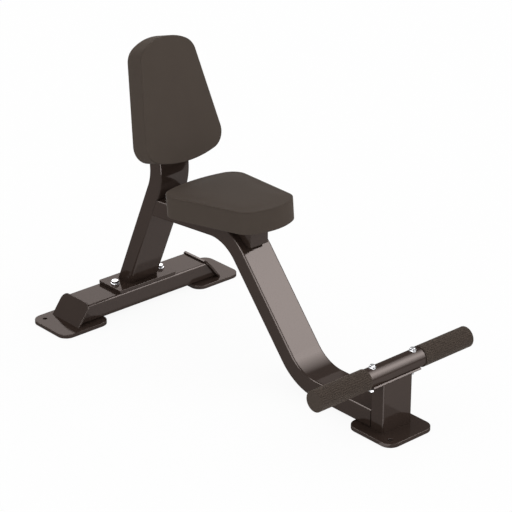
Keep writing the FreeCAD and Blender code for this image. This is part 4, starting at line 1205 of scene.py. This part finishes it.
class BENCH_OT_stage(BenchOperator, bpy.types.Operator):
    """Pale floor, white surroundings, soft lights and the camera"""
    bl_idname = "bench.stage"
    bl_label = "Stage"

    def execute(self, context):
        stage = context.scene.bench_stage
        self.floor(stage, context.scene.bench_colours.floor)
        self.surroundings(stage)
        self.cards(stage)
        self.camera(stage)
        context.scene.view_settings.view_transform = "Standard"
        return {"FINISHED"}

    def floor(self, stage, code):
        """Floor that the camera, gloss and glass see as nearly white, with the object's shadow
        kept in it."""
        half, low = 30, -0.2 * MM
        _, tree = studio_sheet("studio_floor", [(-half, -half, low), (half, -half, low),
                                                (half, half, low), (-half, half, low)])
        rays = add(tree, "ShaderNodeLightPath").outputs
        seen = add(tree, "ShaderNodeMath", {0: rays["Is Camera Ray"], 1: rays["Is Glossy Ray"]},
                   operation="ADD")
        seen = add(tree, "ShaderNodeMath", {0: seen.outputs[0], 1: rays["Is Transmission Ray"]},
                   operation="ADD", use_clamp=True)
        part = add(tree, "ShaderNodeMath", {0: seen.outputs[0], 1: stage.floor_glow},
                   operation="MULTIPLY")
        matte = add(tree, "ShaderNodeBsdfDiffuse", {"Color": linear(code)})
        glow = add(tree, "ShaderNodeEmission", {"Color": WHITE, "Strength": 1.0})
        mixed = add(tree, "ShaderNodeMixShader", {0: part.outputs[0],
                                                  1: matte.outputs[0], 2: glow.outputs[0]})
        add(tree, "ShaderNodeOutputMaterial", {"Surface": mixed.outputs[0]})

    def cards(self, stage):
        """White cards that only gloss sees. Two stand behind the bench, square to the camera's
        direction, for the level faces at the back. One stands at the front left and one lies
        there on the floor, for the upright edges, and two more lie on the floor at the right,
        for the front faces. Each has a corner, two sides and a brightness."""
        across = np.array([math.cos(stage.azimuth), math.sin(stage.azimuth), 0])
        away = np.cross(Z, across) * stage.card_distance
        lift = 1 * MM
        cards = {
            "low": (away, -across * stage.card_wide, Z * stage.card_height, 6.0),
            "high": (away + Z * 0.55, across * 0.28, Z * 0.2, 2.2),
            "left": ((-1.05, -0.1, 0), (0.4, -0.5, 0), Z * 0.9, 10.0),
            "left_floor": ((-0.8, -1.1, lift), X * 0.72, Y * 0.56, 4.0),
            "right_floor": ((0.08, -1.2, lift), X * 0.9, Y * 1.35, 1.8),
            "rear_floor": ((-0.17, 0.15, lift), X * 1.15, Y * 0.27, 1.8),
        }
        for name, (*placed, strength) in cards.items():
            corner, along, up = np.array(placed, float)
            thing, tree = studio_sheet(f"studio_card_{name}", [
                corner, corner + along, corner + along + up, corner + up])
            glow = add(tree, "ShaderNodeEmission", {"Color": WHITE, "Strength": strength})
            add(tree, "ShaderNodeOutputMaterial", {"Surface": glow.outputs[0]})
            thing.visible_camera = thing.visible_diffuse = thing.visible_shadow = False

    def surroundings(self, stage):
        """Studio all round: white low down, darker overhead, one large soft dome of light that
        fades evenly from its core to its rim, and two small lights on the left and at the back.
        Gloss sees the dome brighter than it lights the matte surfaces, and gloss alone sees the
        small lights, which draw bright lines along the tubes' left edges."""
        world = bpy.data.worlds.new("studio")
        bpy.context.scene.world = world
        world.use_nodes = True
        tree = world.node_tree
        tree.nodes.clear()
        toward = add(tree, "ShaderNodeTexCoord").outputs["Generated"]
        left_front, high_back = (-0.85, -0.45, 0.27), (-0.23, 0.68, 0.70)
        lobes = ((stage.dome_toward, stage.dome_core, stage.dome_rim, stage.dome_shine),
                 (left_front, math.radians(20), math.radians(40), stage.edge_shine),
                 (high_back, math.radians(10), math.radians(24), stage.edge_shine))
        # Gloss sees the surroundings darken to 0.6 overhead, between two heights.
        height = add(tree, "ShaderNodeSeparateXYZ", {"Vector": toward})
        in_gloss = add(tree, "ShaderNodeMapRange", {
            "Value": height.outputs["Z"], "From Min": 0.25, "From Max": 0.5,
            "To Min": 1.0, "To Max": 0.6}).outputs["Result"]
        shares = []
        for middle, core, rim, shine in lobes:
            # Share of a round light: 1 within the core's angle, fading evenly to 0 at the rim.
            closeness = add(tree, "ShaderNodeVectorMath", {
                0: toward, 1: Vector(middle).normalized()}, operation="DOT_PRODUCT")
            angle = add(tree, "ShaderNodeMath", {0: closeness.outputs["Value"]},
                        operation="ARCCOSINE")
            shares.append(add(tree, "ShaderNodeMapRange", {
                "Value": angle.outputs[0], "From Min": rim, "From Max": core}
                ).outputs["Result"])
            in_gloss = add(tree, "ShaderNodeMath", {0: shares[-1], 1: shine, 2: in_gloss},
                           operation="MULTIPLY_ADD").outputs[0]
        as_light = add(tree, "ShaderNodeMath", {0: shares[0], 1: stage.dome, 2: stage.ambient},
                       operation="MULTIPLY_ADD").outputs[0]
        rays = add(tree, "ShaderNodeLightPath").outputs
        mirrored = add(tree, "ShaderNodeMath", {
            0: rays["Is Glossy Ray"], 1: rays["Is Transmission Ray"]},
            operation="ADD", use_clamp=True).outputs[0]
        strength = add(tree, "ShaderNodeMix", {0: mirrored, 2: as_light, 3: in_gloss},
                       data_type="FLOAT").outputs[0]
        strength = add(tree, "ShaderNodeMix", {0: rays["Is Camera Ray"], 2: strength, 3: 1.0},
                       data_type="FLOAT").outputs[0]
        back = add(tree, "ShaderNodeBackground", {"Color": WHITE, "Strength": strength})
        add(tree, "ShaderNodeOutputWorld", {"Surface": back.outputs[0]})

    def camera(self, stage):
        """Camera on a sphere about its aim: back = (sin az cos el, -cos az cos el, sin el)."""
        a, e = stage.azimuth, stage.elevation
        back = Vector((math.sin(a) * math.cos(e), -math.cos(a) * math.cos(e), math.sin(e)))
        data = bpy.data.cameras.new("camera")
        data.lens, data.sensor_width = stage.lens, 36
        data.clip_start, data.clip_end = 0.1, 100
        thing = linked("camera", data)
        thing.location = Vector(stage.aim) + back * stage.distance
        thing.rotation_mode = "QUATERNION"
        thing.rotation_quaternion = (-back).to_track_quat("-Z", "Y")
        bpy.context.scene.camera = thing


# ---- add-on ----

OPERATORS = (BENCH_OT_foot_plates, BENCH_OT_crossbeam, BENCH_OT_upright, BENCH_OT_spine,
             BENCH_OT_front_post, BENCH_OT_foot_bar, BENCH_OT_fasteners, BENCH_OT_seat_support,
             BENCH_OT_pads, BENCH_OT_hidden_pieces, BENCH_OT_stage)
GROUPS = {"bench_frame": FrameSizes, "bench_pads": PadSizes, "bench_bar": BarSizes,
          "bench_colours": FinishColours, "bench_stage": StageSettings}


class BENCH_PT_panel(bpy.types.Panel):
    """Buttons for every piece and the sizes behind them"""
    bl_label = "Bench"
    bl_idname = "BENCH_PT_panel"
    bl_space_type = "VIEW_3D"
    bl_region_type = "UI"
    bl_category = "Bench"

    def draw(self, context):
        for operator in OPERATORS:
            self.layout.operator(operator.bl_idname)
        for group in GROUPS:
            box = self.layout.box()
            settings = getattr(context.scene, group)
            for name in settings.bl_rna.properties.keys():
                if name not in ("rna_type", "name"):
                    box.prop(settings, name)


def register():
    for group, kind in GROUPS.items():
        bpy.utils.register_class(kind)
        setattr(bpy.types.Scene, group, bpy.props.PointerProperty(type=kind))
    for kind in (*OPERATORS, BENCH_PT_panel):
        bpy.utils.register_class(kind)


def unregister():
    for kind in (BENCH_PT_panel, *reversed(OPERATORS)):
        bpy.utils.unregister_class(kind)
    for group, kind in GROUPS.items():
        delattr(bpy.types.Scene, group)
        bpy.utils.unregister_class(kind)


def main():
    register()
    for operator in OPERATORS:
        area, name = operator.bl_idname.split(".")
        getattr(getattr(bpy.ops, area), name)()


if __name__ == "__main__":
    main()
